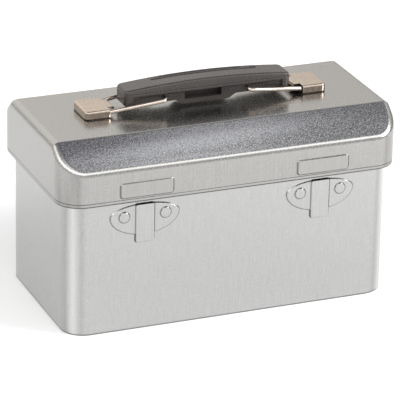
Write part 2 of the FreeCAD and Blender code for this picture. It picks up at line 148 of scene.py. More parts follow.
class Shading:
    """A material in the making: its node tree, its shader and its Object coordinates."""

    def __init__(self, name: str) -> None:
        """Start the material.

        Args:
            name: the real finish that it stands for.
        """
        self.material = bpy.data.materials.new(name)
        self.material.use_nodes = True
        self.tree = self.material.node_tree
        self.shader = self.tree.nodes["Principled BSDF"]
        self.place = add_node(self.tree, "ShaderNodeTexCoord").outputs["Object"]

    def noise(self, size_mm: float, detail: float, roughness: float = 0.5,
              place: bpy.types.NodeSocket | None = None) -> bpy.types.NodeSocket:
        """Add a noise and return its height.

        Args:
            size_mm: about how large its features are.
            detail: how many finer layers it has.
            roughness: how strong the finer layers are.
            place: its coordinates, or None for the Object ones.

        Returns:
            The height socket, about 0.3 to 0.7.
        """
        made = add_node(self.tree, "ShaderNodeTexNoise",
                        {"Scale": per_metre(size_mm), "Detail": detail, "Roughness": roughness},
                        {"Vector": self.place if place is None else place})
        return made.outputs["Fac"]

    def tones(self, source: bpy.types.NodeSocket, span: tuple[float, float],
              codes: tuple[str, str]) -> bpy.types.NodeSocket:
        """Turn a noise into shades between two colours.

        Args:
            source: the noise.
            span: the heights at which the first and the second colour are reached.
            codes: the two colours.

        Returns:
            The colour socket.
        """
        return ramp(self.tree, source, [(at, linear_colour(code)) for at, code in zip(span, codes)])

    def spread(self, source: bpy.types.NodeSocket, low: float, high: float) -> bpy.types.NodeSocket:
        """Turn a noise into values between two limits.

        Args:
            source: the noise.
            low: the value in its hollows.
            high: the value on its tops.

        Returns:
            The value socket.
        """
        made = add_node(self.tree, "ShaderNodeMapRange",
                        {"From Min": 0.3, "From Max": 0.7, "To Min": low, "To Max": high}, {"Value": source})
        return made.outputs[0]

    def bump(self, height: bpy.types.NodeSocket, depth_mm: float,
             under: bpy.types.NodeSocket | None = None) -> bpy.types.NodeSocket:
        """Turn a noise into unevenness.

        Args:
            height: the noise.
            depth_mm: how deep the unevenness is.
            under: the normal that it adds to, or None for the bare surface.

        Returns:
            The normal socket.
        """
        links = {"Height": height}
        if under is not None:
            links["Normal"] = under
        made = add_node(self.tree, "ShaderNodeBump", {"Strength": 1.0, "Distance": depth_mm * MM}, links)
        return made.outputs[0]

    def mark(self, attribute: str) -> bpy.types.NodeSocket:
        """Return the value that a vertex attribute has at a place."""
        return add_node(self.tree, "ShaderNodeAttribute", {"attribute_name": attribute}).outputs["Fac"]

    def laid_over(self, under: bpy.types.NodeSocket, share: bpy.types.NodeSocket,
                  over: bpy.types.NodeSocket | str) -> bpy.types.NodeSocket:
        """Lay one colour over another.

        Args:
            under: the lower colour.
            share: how much of the upper colour shows.
            over: the upper colour, as a socket or a hex code.

        Returns:
            The colour socket.
        """
        settings = {"data_type": "RGBA"}
        links = {0: share, 6: under}
        if isinstance(over, str):
            settings[7] = linear_colour(over)
        else:
            links[7] = over
        return add_node(self.tree, "ShaderNodeMix", settings, links).outputs[2]

    def finished(self, colour: bpy.types.NodeSocket, rough: bpy.types.NodeSocket,
                 normal: bpy.types.NodeSocket, **settings: float) -> bpy.types.Material:
        """Feed the shader and return the material.

        Args:
            colour: the surface's colour.
            rough: its roughness.
            normal: its unevenness.
            settings: fixed values of other shader inputs, by their names.

        Returns:
            The material.
        """
        for name, source in (("Base Color", colour), ("Roughness", rough), ("Normal", normal)):
            self.tree.links.new(source, self.shader.inputs[name])
        for name, value in settings.items():
            self.shader.inputs[name].default_value = value
        return self.material


class Finish:
    """Base of every finish: a named material made from nodes on Object coordinates."""

    name = "finish"

    def material(self) -> bpy.types.Material:
        """Return the material, made once."""
        known = bpy.data.materials.get(self.name)
        return known or self.build()

    def build(self) -> bpy.types.Material:
        """Make the material; each finish has its own."""
        raise NotImplementedError


@dataclass(frozen=True)
class Tinplate(Finish):
    """Satin tinplate: cold-rolled steel under a matt coat of tin.

    It gives the eye a soft grey mirror, a little out of flat, with faint upright lines, painted highlights
    and shade on rolled corners, painted shade along press lines and painted glints and shade on the slopes.
    """

    name: str = "satin_tinplate"
    light: str = "#BEBEBD"
    dark: str = "#ACACAB"
    tone_span: tuple[float, float] = (0.36, 0.64)
    roughness: float = 0.24
    gloss_spread: float = 0.07
    squeeze: tuple[float, float, float] = (1.0, 1.0, 0.03)     # draws the rolling lines out along Z
    line_mm: float = 0.4
    line_share: float = 0.35       # how much the rolling lines count beside the crystals
    sparkle_mm: float = 0.7        # the real crystals are finer; drawn this coarse so that they show
    crystal: tuple[str, str] = ("#6F7072", "#C0C0C2")   # painted sparkle on the slopes: its darkest and lightest speckles
    crystal_span: tuple[float, float] = (0.38, 0.62)
    bump_mm: float = 0.007
    cloud_mm: float = 45.0
    wave_mm: float = 0.09          # how far the sheet is out of flat
    painted_highlight: str = "#DEDDDB"      # painted highlight on the crest of a rolled corner
    painted_shade: str = "#454340"      # painted shade along press lines, creases, hems and corners

    def build(self) -> bpy.types.Material:
        """Make rolled, sparkling, faintly wavy tinplate.

        Returns:
            The material.
        """
        made = Shading(self.name)
        squeezed = add_node(made.tree, "ShaderNodeMapping", {"Scale": self.squeeze}, {"Vector": made.place})
        lines = made.noise(self.line_mm, 2.0, place=squeezed.outputs[0])
        sparkle = made.noise(self.sparkle_mm, 3.0, 0.7)
        clouds = made.noise(self.cloud_mm, 3.0)
        mixed = add_node(made.tree, "ShaderNodeMix", {"data_type": "FLOAT", 0: self.line_share},
                         {2: sparkle, 3: lines})
        tone = made.tones(mixed.outputs[0], self.tone_span, (self.dark, self.light))
        # The slopes get painted sparkle: dark and light speckles that stand in for their glints and shade.
        sparkled = made.laid_over(tone, made.mark(PAINTED_SPARKLE), made.tones(sparkle, self.crystal_span, self.crystal))
        # Painted light: positive shares paint shade along press lines, creases, hems and corners; negative
        # ones paint a highlight on corner crests.
        painted_light = made.mark(PAINTED_LIGHT)
        highlight_share = add_node(made.tree, "ShaderNodeMath", {"operation": "MULTIPLY", 1: -1.0}, {0: painted_light})
        highlighted = made.laid_over(sparkled, highlight_share.outputs[0], self.painted_highlight)
        shaded = made.laid_over(highlighted, painted_light, self.painted_shade)
        rough = made.spread(sparkle, self.roughness - self.gloss_spread, self.roughness + self.gloss_spread)
        wavy = made.bump(clouds, self.wave_mm)
        fine = made.bump(sparkle, self.bump_mm, wavy)
        lined = made.bump(lines, self.bump_mm * self.line_share, fine)
        return made.finished(shaded, rough, lined, Metallic=1.0)


@dataclass(frozen=True)
class PlatedMetal(Finish):
    """Electroplated steel: bright nickel or dull zinc.

    It gives the eye a clear mirror that smears a little in scuffs, with painted shade along cut edges that
    meet another part.
    """

    name: str = "nickel_plate"
    colour: str = "#CFC2B7"
    shade: str = "#C2B5AA"
    tone_span: tuple[float, float] = (0.4, 0.6)
    roughness: float = 0.10
    gloss_share: tuple[float, float] = (0.7, 1.5)       # share of the roughness at the glossiest and dullest
    scuff_mm: float = 2.0
    bump_mm: float = 0.003
    contact_shade: str = "#2B2622"         # painted shade along a cut edge that meets another part

    def build(self) -> bpy.types.Material:
        """Make plated metal whose gloss varies a little.

        Returns:
            The material.
        """
        made = Shading(self.name)
        scuffs = made.noise(self.scuff_mm, 4.0, 0.6)
        tone = made.tones(scuffs, self.tone_span, (self.shade, self.colour))
        # Painted shade where the caps' cut edges meet the roof.
        contact_shaded = made.laid_over(tone, made.mark(PAINTED_LIGHT), self.contact_shade)
        low, high = (self.roughness * share for share in self.gloss_share)
        rough = made.spread(scuffs, low, high)
        return made.finished(contact_shaded, rough, made.bump(scuffs, self.bump_mm), Metallic=1.0)


@dataclass(frozen=True)
class MouldedPlastic(Finish):
    """Injection-moulded plastic with a fine spark-eroded texture.

    It gives the eye a deep, even colour under a soft, slightly gritty sheen.
    """

    name: str = "moulded_abs"
    colour: str = "#3B3634"
    shade: str = "#312D2B"
    tone_span: tuple[float, float] = (0.35, 0.65)
    roughness: float = 0.27
    gloss_spread: float = 0.06
    grit_mm: float = 0.45
    flow_mm: float = 18.0          # size of the faint clouds where the melt flowed
    bump_mm: float = 0.012
    ior: float = 1.53

    def build(self) -> bpy.types.Material:
        """Make slightly mottled, finely textured plastic.

        Returns:
            The material.
        """
        made = Shading(self.name)
        grit = made.noise(self.grit_mm, 2.0)
        tone = made.tones(made.noise(self.flow_mm, 2.0), self.tone_span, (self.shade, self.colour))
        rough = made.spread(grit, self.roughness - self.gloss_spread, self.roughness + self.gloss_spread)
        return made.finished(tone, rough, made.bump(grit, self.bump_mm), IOR=self.ior)


# The body's tinplate is the lighter grey of the pair, painted lighter than the lid's, with the clearest sheen
# on its walls.
TIN = Tinplate()
# The lid's sheet is the same tinplate painted a shade darker, a painted shade that lets the skirt stand off
# from the body below it.
SHADED_LID_TIN = Tinplate(name="satin_tinplate_lid_shaded", light="#B0AFAD", dark="#9F9E9C")
# The trays' clear lacquer turns the tin warm and pale, and hides some of its waves.
TRAY_TIN = Tinplate(name="lacquered_tinplate", light="#CFCBBF", dark="#C6C1B4", roughness=0.26,
                    wave_mm=0.06)
# The loops' bright nickel mirrors the room in warm white and near-black streaks.
NICKEL = PlatedMetal()
# The caps' nickel is softer and browner than the loops', with finer scuffs.
SATIN_NICKEL = PlatedMetal(name="satin_nickel_plate", colour="#BFB1A3", shade="#B3A496", roughness=0.12,
                           scuff_mm=1.5, bump_mm=0.004)
# Zinc is cold and dull on hinges, arms, rails and rivets, so the mechanism looks plain.
ZINC = PlatedMetal(name="zinc_plate", colour="#B8BABC", shade="#ABADB0", roughness=0.28, scuff_mm=3.0,
                   bump_mm=0.002)
# The grip is a warm near-black with a broad soft highlight along its top.
GRIP_PLASTIC = MouldedPlastic()
# The dividers are matt off-white, the palest things inside the box.
BOARD = MouldedPlastic(name="moulded_polystyrene", colour="#EAE6DA", shade="#E2DDCF", roughness=0.45,
                       grit_mm=0.6, flow_mm=24.0)


# ---------------------------------------------------------------- mesh tools
def millimetre_box(node: str) -> tuple[Vector, Vector]:
    """Return a CAD node's lowest and highest corner in millimetres."""
    low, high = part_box(node)
    return low / MM, high / MM


def cuboid(low: Iterable[float], high: Iterable[float]) -> BMesh:
    """Return a mesh holding one box.

    Args:
        low: its lowest corner in millimetres.
        high: its highest corner in millimetres.

    Returns:
        The new mesh, in millimetres.
    """
    low, high = Vector(low), Vector(high)
    mesh = bmesh.new()
    place = Matrix.Translation((low + high) / 2) @ Matrix.Diagonal((*(high - low), 1.0))
    bmesh.ops.create_cube(mesh, size=1.0, matrix=place)
    return mesh


def rounded(mesh: BMesh, edges: Iterable[BMEdge], radius: float, segments: int = 6) -> None:
    """Round edges over.

    Args:
        mesh: the shape, in millimetres.
        edges: the edges to round.
        radius: how far each rounding reaches on its faces.
        segments: steps of each rounding.
    """
    bmesh.ops.bevel(mesh, geom=list(edges), offset=radius, offset_type="OFFSET", segments=segments,
                    profile=0.5, affect="EDGES", material=-1, clamp_overlap=True)


def upright(edge: BMEdge) -> bool:
    """Tell whether an edge runs along Z."""
    run = edge.verts[0].co - edge.verts[1].co
    return abs(run.z) > HAIR_MM and abs(run.x) + abs(run.y) < HAIR_MM


def level(edge: BMEdge, z: float) -> bool:
    """Tell whether both ends of an edge lie at height z."""
    return all(abs(vert.co.z - z) < NEAR_MM for vert in edge.verts)


def crisp_edges(mesh: BMesh) -> list[BMEdge]:
    """Return the edges that turn enough to stay crisp."""
    limit = math.radians(CRISP_DEG)
    return [edge for edge in mesh.edges if len(edge.link_faces) == 2 and edge.calc_face_angle() > limit]


def mirror(mesh: BMesh) -> None:
    """Turn a right-hand shape into its left-hand twin."""
    bmesh.ops.scale(mesh, vec=(-1, 1, 1), verts=mesh.verts[:])
    bmesh.ops.reverse_faces(mesh, faces=mesh.faces[:])


def rounded_prism(low: Iterable[float], high: Iterable[float], front_r: float,
                  rear_r: float | None = None, segments: int = 12) -> BMesh:
    """Return a box whose upright edges are rounded.

    Args:
        low: its lowest corner in millimetres.
        high: its highest corner in millimetres.
        front_r: radius of the two front edges.
        rear_r: radius of the two rear edges, or None for the front one's.
        segments: steps of each rounding.

    Returns:
        The new mesh, in millimetres.
    """
    mesh = cuboid(low, high)
    middle = (Vector(low).y + Vector(high).y) / 2
    rear_r = front_r if rear_r is None else rear_r
    for radius, side in ((front_r, -1), (rear_r, 1)):
        corners = [edge for edge in crisp_edges(mesh)
                   if upright(edge) and (edge.verts[0].co.y - middle) * side > 0]
        rounded(mesh, corners, radius, segments)
    return mesh


def drop_faces(mesh: BMesh, unwanted: Callable[[BMFace], bool]) -> None:
    """Delete some faces, and the edges and vertices that only they used.

    Args:
        mesh: the shape, in millimetres.
        unwanted: the test that picks them.
    """
    mesh.normal_update()
    picked = [face for face in mesh.faces if unwanted(face)]
    bmesh.ops.delete(mesh, geom=picked, context="FACES")


def rim(mesh: BMesh, z: float) -> list[BMEdge]:
    """Return the open edges at height z."""
    return [edge for edge in mesh.edges if edge.is_boundary and level(edge, z)]


def curl_rim(mesh: BMesh, edges: list[BMEdge], radius: float, turn_up: bool, leg: float,
             segments: int = 6) -> None:
    """Roll an open rim inwards through a half turn and finish it with a straight leg.

    Args:
        mesh: the sheet's outer surface, in millimetres.
        edges: the open rim, all at one height.
        radius: outer radius of the roll.
        turn_up: True at a lower rim, where the roll goes under and up again.
        leg: length of the straight leg inside the wall.
        segments: steps of the half turn.
    """
    mesh.normal_update()
    side = 1.0 if turn_up else -1.0
    verts = {vert for edge in edges for vert in edge.verts}
    inward = {}
    for vert in verts:
        flat = Vector((vert.normal.x, vert.normal.y, 0.0))
        inward[vert] = -flat.normalized()
        vert.co.z += side * radius
    turns = [math.pi * i / segments for i in range(1, segments + 1)]
    places = [(radius * (1 - math.cos(turn)), -side * radius * math.sin(turn)) for turn in turns]
    places.append((2 * radius, side * leg))
    origin = {vert: vert.co.copy() for vert in verts}
    follow = {vert: vert for vert in verts}
    current = list(edges)
    for across, rise in places:
        made = bmesh.ops.extrude_edge_only(mesh, edges=current)["geom"]
        new_verts = [item for item in made if isinstance(item, BMVert)]
        new_edges = [item for item in made if isinstance(item, BMEdge)]
        step = {}
        for vert in new_verts:
            before = next(edge.other_vert(vert) for edge in vert.link_edges
                          if edge.other_vert(vert) not in new_verts)
            step[vert] = follow[before]
        for vert, root in step.items():
            vert.co = origin[root] + inward[root] * across + Vector((0, 0, rise))
        follow = step
        new_set = set(new_verts)
        current = [edge for edge in new_edges if all(vert in new_set for vert in edge.verts)]


def split_face(mesh: BMesh, faces: list[BMFace], point: Iterable[float],
               normal: Iterable[float]) -> list[BMFace]:
    """Cut some faces with a plane.

    Args:
        mesh: the shape, in millimetres.
        faces: the faces to cut.
        point: a place on the plane.
        normal: the plane's direction.

    Returns:
        All that the faces became.
    """
    edges = {edge for face in faces for edge in face.edges}
    verts = {vert for face in faces for vert in face.verts}
    made = bmesh.ops.bisect_plane(mesh, geom=list(faces) + list(edges) + list(verts), dist=CUT_MM,
                                  plane_co=Vector(point), plane_no=Vector(normal))
    return [item for item in made["geom"] if isinstance(item, BMFace)]


def cut_through(mesh: BMesh, point: Iterable[float], normal: Iterable[float],
                drop_outer: bool = False) -> list[BMEdge]:
    """Cut the whole shape with a plane.

    Args:
        mesh: the shape, in millimetres.
        point: a place on the plane.
        normal: the plane's direction.
        drop_outer: True to delete what lies on the side that the normal points to.

    Returns:
        The edges that lie in the plane.
    """
    made = bmesh.ops.bisect_plane(mesh, geom=mesh.verts[:] + mesh.edges[:] + mesh.faces[:], dist=CUT_MM,
                                  plane_co=Vector(point), plane_no=Vector(normal), clear_outer=drop_outer)
    return [item for item in made["geom_cut"] if isinstance(item, BMEdge)]


def sink_line(mesh: BMesh, z: float, heights: Iterable[float], depth: float) -> list[BMVert]:
    """Sink a fine line into the upright sides, all the way round.

    Args:
        mesh: the shape, in millimetres.
        z: height of the line's bottom.
        heights: where the sides are cut first, z among them.
        depth: how deep the line is.

    Returns:
        The vertices along its bottom.
    """
    mesh.normal_update()
    for height in heights:
        sides = [face for face in mesh.faces if abs(face.normal.z) < LEANING]
        split_face(mesh, sides, (0, 0, height), (0, 0, 1))
    mesh.normal_update()
    sunk = [vert for vert in mesh.verts if abs(vert.co.z - z) < NEAR_MM and abs(vert.normal.z) < 0.5]
    for vert in sunk:
        vert.co -= Vector((vert.normal.x, vert.normal.y, 0)).normalized() * depth
    return sunk


def within(value: float, low: float, high: float) -> bool:
    """Tell whether a value lies between two limits."""
    return low - HAIR_MM <= value <= high + HAIR_MM


def front_patch(mesh: BMesh, face_y: float, window: tuple[float, float, float, float],
                cuts: int) -> list[BMVert]:
    """Lay a fine grid over a window of a flat front wall, ready for a relief.

    Args:
        mesh: the sheet's outer surface, in millimetres.
        face_y: where the front wall lies.
        window: lowest and highest X, then lowest and highest Z.
        cuts: how many cuts across the window each way.

    Returns:
        The grid's vertices.
    """
    x0, x1, z0, z1 = window
    if PAINTED_LIGHT not in mesh.verts.layers.float:
        mesh.verts.layers.float.new(PAINTED_LIGHT)
    mesh.normal_update()
    faces = [face for face in mesh.faces if face.normal.y < -FLAT
             and all(abs(vert.co.y - face_y) < NEAR_MM for vert in face.verts)]
    faces = split_face(mesh, faces, (x0, 0, 0), (1, 0, 0))
    faces = split_face(mesh, faces, (x1, 0, 0), (1, 0, 0))
    faces = [face for face in faces if within(face.calc_center_median().x, x0, x1)]
    faces = split_face(mesh, faces, (0, 0, z0), (0, 0, 1))
    faces = split_face(mesh, faces, (0, 0, z1), (0, 0, 1))
    faces = [face for face in faces if within(face.calc_center_median().z, z0, z1)]
    edges = list({edge for face in faces for edge in face.edges})
    bmesh.ops.subdivide_edges(mesh, edges=edges, cuts=cuts, use_grid_fill=True)
    return [vert for vert in mesh.verts if abs(vert.co.y - face_y) < NEAR_MM
            and x0 + HAIR_MM < vert.co.x < x1 - HAIR_MM and z0 + HAIR_MM < vert.co.z < z1 - HAIR_MM]


def relief(mesh: BMesh, verts: list[BMVert], outward: Iterable[float],
           height: Callable[[Vector], tuple[float, float]]) -> None:
    """Raise vertices by a height map and note the painted shade along each press line.

    Args:
        mesh: the sheet's outer surface, in millimetres.
        verts: the grid's vertices.
        outward: the direction in which a height counts.
        height: gives the rise and the painted shade, 0 to 1, at a place.
    """
    layer = mesh.verts.layers.float[PAINTED_LIGHT]
    outward = Vector(outward)
    for vert in verts:
        rise, painted_light = height(vert.co)
        vert[layer] = painted_light
        vert.co += outward * rise


def outline_shade(distance: float, edge: float) -> float:
    """Return the painted shade at a signed distance from a stamped outline: full on its foot, then fading."""
    foot, reach = edge * 0.25, edge * 0.8
    return max(0.0, 1.0 - abs(distance - foot) / reach)


def mark_corners(mesh: BMesh, high: Vector, corner_r: float, dull: float, crest_highlight: float) -> None:
    """Note each upright corner's painted highlight on its crest and the painted shade lines beside it.

    Args:
        mesh: the sheet's outer surface, in millimetres, centred on the origin.
        high: its highest corner.
        corner_r: radius of its corners in plan.
        dull: painted shade of the lines.
        crest_highlight: how strong the painted highlight on the crest is; below 0 it paints shade.
    """
    layer = mesh.verts.layers.float[PAINTED_LIGHT]
    crest_deg, crest_width = 45, 9
    line_degs, line_width = (24, 66), 7
    for vert in mesh.verts:
        over_x = abs(vert.co.x) - high.x + corner_r
        over_y = abs(vert.co.y) - high.y + corner_r
        if min(over_x, over_y) > 0.01:
            turn = math.degrees(math.atan2(over_x, over_y))
            crest = math.exp(-((turn - crest_deg) / crest_width) ** 2)
            lines = sum(math.exp(-((turn - line_deg) / line_width) ** 2) for line_deg in line_degs)
            vert[layer] = dull * lines - crest_highlight * crest


def mark_heights(mesh: BMesh, low_z: float, high_z: float, painted_light: float) -> None:
    """Give every vertex between two heights one share of painted light.

    Args:
        mesh: the shape, in millimetres.
        low_z: the lower height.
        high_z: the upper height.
        painted_light: the share that they get: painted shade above 0, none at 0.
    """
    layer = mesh.verts.layers.float[PAINTED_LIGHT]
    for vert in mesh.verts:
        if low_z - NEAR_MM <= vert.co.z <= high_z:
            vert[layer] = painted_light


def pressed(distance: float, rise: float, edge: float) -> float:
    """Return a stamped shape's height at a signed distance from its outline, negative inside."""
    share = min(1.0, max(0.0, 0.5 - distance / edge))
    return rise * share * share * (3 - 2 * share)


def box_distance(x: float, z: float, half_w: float, half_h: float, radius: float) -> float:
    """Measure the signed distance from a rounded rectangle about the origin.

    Args:
        x: the place's X.
        z: the place's Z.
        half_w: half the rectangle's width.
        half_h: half its height.
        radius: radius of its corners.

    Returns:
        The distance, negative inside.
    """
    over_x = abs(x) - half_w + radius
    over_z = abs(z) - half_h + radius
    outside = math.hypot(max(over_x, 0.0), max(over_z, 0.0))
    return outside + min(max(over_x, over_z), 0.0) - radius


def egg_distance(x: float, z: float, half_w: float, up: float, down: float) -> float:
    """Measure the signed distance, near enough, from an egg about the origin.

    Args:
        x: the place's X.
        z: the place's Z.
        half_w: half the egg's width at its waist.
        up: its height above the waist.
        down: its height below the waist.

    Returns:
        The distance, negative inside.
    """
    height = up if z > 0 else down
    share = math.hypot(x / half_w, z / height)
    if share < 1e-6:
        return -min(half_w, height)
    slope = math.hypot(x / half_w ** 2, z / height ** 2) / share
    return (share - 1) / slope


@dataclass(frozen=True)
class Mounting:
    """Where a finished piece belongs: its body, its slot and the CAD nodes that it stands for."""

    body: str
    slot: str
    nodes: tuple[str, ...]


def to_object(mesh: BMesh, name: str, finish: Finish, mounting: Mounting, sharp_deg: float = CRISP_DEG,
              wall_mm: float = 0.0) -> bpy.types.Object:
    """Turn a millimetre mesh into a finished piece that rides on its body.

    Args:
        mesh: the shape, in millimetres; it is freed here.
        name: the piece's name.
        finish: what it is made of.
        mounting: its body, slot and CAD nodes.
        sharp_deg: edges that turn by more than this stay crisp.
        wall_mm: thickness given to a sheet's outer surface, inwards, or 0 for a solid.

    Returns:
        The new object.
    """
    bmesh.ops.scale(mesh, vec=(MM, MM, MM), verts=mesh.verts[:])
    data = bpy.data.meshes.new(name)
    mesh.to_mesh(data)
    mesh.free()
    data.shade_smooth()
    piece = bpy.data.objects.new(name, data)
    bpy.context.scene.collection.objects.link(piece)
    data.set_sharp_from_angle(angle=math.radians(sharp_deg))
    if wall_mm:
        wall = piece.modifiers.new("wall", "SOLIDIFY")
        wall.thickness = wall_mm * MM
        wall.offset = -1.0
        wall.use_even_offset = True
    weighted = piece.modifiers.new("weighted", "WEIGHTED_NORMAL")
    weighted.keep_sharp = True
    data.materials.append(finish.material())
    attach(piece, mounting.body)
    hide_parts(*mounting.nodes)
    log.info("%s: %d faces on %s", name, len(data.polygons), mounting.body)
    return piece


# ---------------------------------------------------------------- lid
@dataclass
class LidShell:
    """The lid's pressing: skirt, two slopes, flat roof, rolled hem and two latch bars."""

    corner_r: float = 15.5
    fold_z: float = 100.9
    flat_half_y: float = 36.8
    end_fold: float = 4.6          # reach of each fold's rounding on its faces
    skirt_fold: float = 2.2
    roof_fold: float = 0.9
    fold_turn: float = 0.35        # radians; an edge that turns by less is no fold
    fold_climb: float = 1.4        # how fast a corner's fold widens on its way up the slope
    crown: float = 0.5             # how far each slope bulges between its folds
    crown_span: tuple[float, float] = (0.12, 0.97)      # shares of the slope between which it bulges
    crown_cuts: tuple[float, ...] = (0.2, 0.3, 0.42, 0.55, 0.7, 0.85)
    hem_r: float = 0.5
    hem_leg: float = 3.0
    wall: float = 0.4
    latch_x: float = 54.5
    bar_size: tuple[float, float] = (32.0, 8.8)
    bar_z: float = 88.6
    bar_rise: float = 0.9
    bar_edge: float = 0.7
    bar_corner: float = 1.6
    bar_margin: tuple[float, float] = (2.0, 1.2)        # reach of the fine grid past the bar
    bar_cuts: int = 90
    crease_z: float = 2.3
    crease_w: float = 0.4
    crease_depth: float = 0.12
    hinge_x: float = 60.0
    corner_shade: float = 0.27      # painted shade round the skirt's corners
    # painted shade along the hem's roll, where the lid overhangs the body
    hem_shade: float = 0.9
    low: Vector = field(init=False)
    high: Vector = field(init=False)

    def __post_init__(self) -> None:
        """Take the outer sizes from the frame."""
        self.low, self.high = millimetre_box("lid_shell")
        self.low.y = -self.high.y

    def form(self) -> BMesh:
        """Make the sharp outer form, open below.

        Returns:
            Its mesh, in millimetres.
        """
        mesh = rounded_prism(self.low, self.high, self.corner_r)
        slope = Vector((0, self.high.z - self.fold_z, self.high.y - self.flat_half_y)).normalized()
        for side in (-1, 1):
            normal = Vector((0, side * slope.y, slope.z))
            cut = cut_through(mesh, (0, side * self.high.y, self.fold_z), normal, drop_outer=True)
            bmesh.ops.holes_fill(mesh, edges=cut, sides=0)
        bmesh.ops.dissolve_limit(mesh, angle_limit=0.001, verts=mesh.verts[:], edges=mesh.edges[:])
        drop_faces(mesh, lambda face: face.normal.z < -FACING)
        return mesh

    def fold_weight(self, edge: BMEdge) -> float:
        """Find how far an edge is rounded.

        Args:
            edge: an edge of the sharp form.

        Returns:
            The rounding as a share of the end fold's.
        """
        if edge.is_boundary or edge.calc_face_angle() < self.fold_turn:
            return 0.0
        middle = (edge.verts[0].co + edge.verts[1].co) / 2
        along_x = abs(edge.verts[0].co.y - edge.verts[1].co.y) < NEAR_MM
        at_roof = abs(middle.z - self.high.z) < NEAR_MM
        if at_roof:
            return self.roof_fold / self.end_fold if along_x else 1.0
        climb = min(1.0, self.fold_climb * (middle.z - self.fold_z) / (self.high.z - self.fold_z))
        return (self.skirt_fold + (self.end_fold - self.skirt_fold) * climb) / self.end_fold

    def crown_slopes(self, mesh: BMesh) -> None:
        """Bulge both slopes a little between their folds, and mark them for painted sparkle.

        Args:
            mesh: the folded form, in millimetres.
        """
        painted_sparkle = mesh.verts.layers.float.new(PAINTED_SPARKLE)
        top, foot = Vector((0, self.flat_half_y, self.high.z)), Vector((0, self.high.y, self.fold_z))
        along = top - foot
        first, last = self.crown_span
        for side in (-1, 1):
            run = Vector((0, along.y * side, along.z))
            normal = Vector((0, along.z * side, -along.y)).normalized()
            start = Vector((0, foot.y * side, foot.z))
            for share in self.crown_cuts:
                mesh.normal_update()
                slope = [face for face in mesh.faces if face.normal.dot(normal) > FLAT]
                split_face(mesh, slope, start + run * share, run)
            mesh.normal_update()
            slope = [face for face in mesh.faces if face.normal.dot(normal) > FLAT]
            for vert in {vert for face in slope for vert in face.verts}:
                share = (vert.co - start).dot(run) / run.length_squared
                vert[painted_sparkle] = 1.0
                if first < share < last:
                    arch = math.sin(math.pi * (share - first) / (last - first)) ** 1.2
                    vert.co += normal * self.crown * arch

    def folded(self) -> BMesh:
        """Round the folds of the outer form, each with its own radius.

        Returns:
            The folded mesh, in millimetres.
        """
        mesh = self.form()
        mesh.normal_update()
        weights = mesh.edges.layers.float.new("bevel_weight_edge")
        for edge in mesh.edges:
            edge[weights] = self.fold_weight(edge)
        data = bpy.data.meshes.new("lid_form")
        mesh.to_mesh(data)
        mesh.free()
        former = bpy.data.objects.new("lid_form", data)
        bpy.context.scene.collection.objects.link(former)
        bevel = former.modifiers.new("folds", "BEVEL")
        bevel.limit_method = "WEIGHT"
        bevel.width = self.end_fold
        bevel.segments = 6
        bevel.profile = 0.5
        graph = bpy.context.evaluated_depsgraph_get()
        result = bmesh.new()
        result.from_mesh(bpy.data.meshes.new_from_object(former.evaluated_get(graph)))
        bpy.data.objects.remove(former)
        return result

    def press_bars(self, mesh: BMesh) -> None:
        """Stamp the two dummy latch bars into the front skirt.

        Args:
            mesh: the lid's outer surface, in millimetres.
        """
        across, up = (size / 2 + margin for size, margin in zip(self.bar_size, self.bar_margin))
        for side in Side:
            centre = side.value * self.latch_x
            window = (centre - across, centre + across, self.bar_z - up, self.bar_z + up)
            relief(mesh, front_patch(mesh, self.low.y, window, self.bar_cuts), (0, -1, 0),
                   lambda place: self.bar_height(place.x - centre, place.z - self.bar_z))

    def bar_height(self, x: float, z: float) -> tuple[float, float]:
        """Shape one latch bar, whose lit upper edge gets the least painted shade.

        Args:
            x: the place's X from the bar's middle.
            z: the place's Z from the bar's middle.

        Returns:
            The rise over the skirt and the painted shade.
        """
        width, height = self.bar_size
        gap = box_distance(x, z, width / 2, height / 2, self.bar_corner)
        # The upper edge faces the light, so it gets only a fifth of the painted shade.
        upper_edge = z > height / 2 - 0.9
        share = 0.2 if upper_edge else 1.0
        return pressed(gap, self.bar_rise, self.bar_edge), outline_shade(gap, self.bar_edge) * share

    def crease_hem(self, mesh: BMesh) -> None:
        """Press the fine crease that runs round the skirt above its hem.

        Args:
            mesh: the lid's outer surface, in millimetres.
        """
        base = self.low.z + self.crease_z
        heights = (self.low.z + 1.0, base - self.crease_w, base, base + self.crease_w)
        layer = mesh.verts.layers.float[PAINTED_LIGHT]
        # The crease's bottom gets full painted shade.
        for vert in sink_line(mesh, base, heights, self.crease_depth):
            vert[layer] = 1.0

    def cut_notches(self, mesh: BMesh) -> None:
        """Open the rear skirt round each hinge.

        Args:
            mesh: the lid's outer surface with its hem, in millimetres.
        """
        leaf_low, leaf_high = millimetre_box("right_hinge_lid_leaf")
        top = millimetre_box("right_hinge_pin")[1].z + 1.0
        half = (leaf_high.x - leaf_low.x) / 2 + 0.4
        for side in Side:
            x0, x1 = side.value * self.hinge_x - half, side.value * self.hinge_x + half
            faces = [f for f in mesh.faces if f.calc_center_median().y > self.high.y - 2.5
                     and f.calc_center_median().z < self.fold_z - 3]
            faces = split_face(mesh, faces, (x0, 0, 0), (1, 0, 0))
            faces = split_face(mesh, faces, (x1, 0, 0), (1, 0, 0))
            faces = [f for f in faces if within(f.calc_center_median().x, x0, x1)]
            faces = split_face(mesh, faces, (0, 0, top), (0, 0, 1))
            doomed = [f for f in faces if f.calc_center_median().z < top
                      or f.calc_center_median().y < self.high.y - 0.5]
            bmesh.ops.delete(mesh, geom=doomed, context="FACES")

    def build(self) -> None:
        """Make the lid's pressing."""
        mesh = self.folded()
        self.crown_slopes(mesh)
        self.press_bars(mesh)
        # Painted shade in lines round the skirt's corners, and on their crests too.
        mark_corners(mesh, self.high, self.corner_r, self.corner_shade, -self.corner_shade)
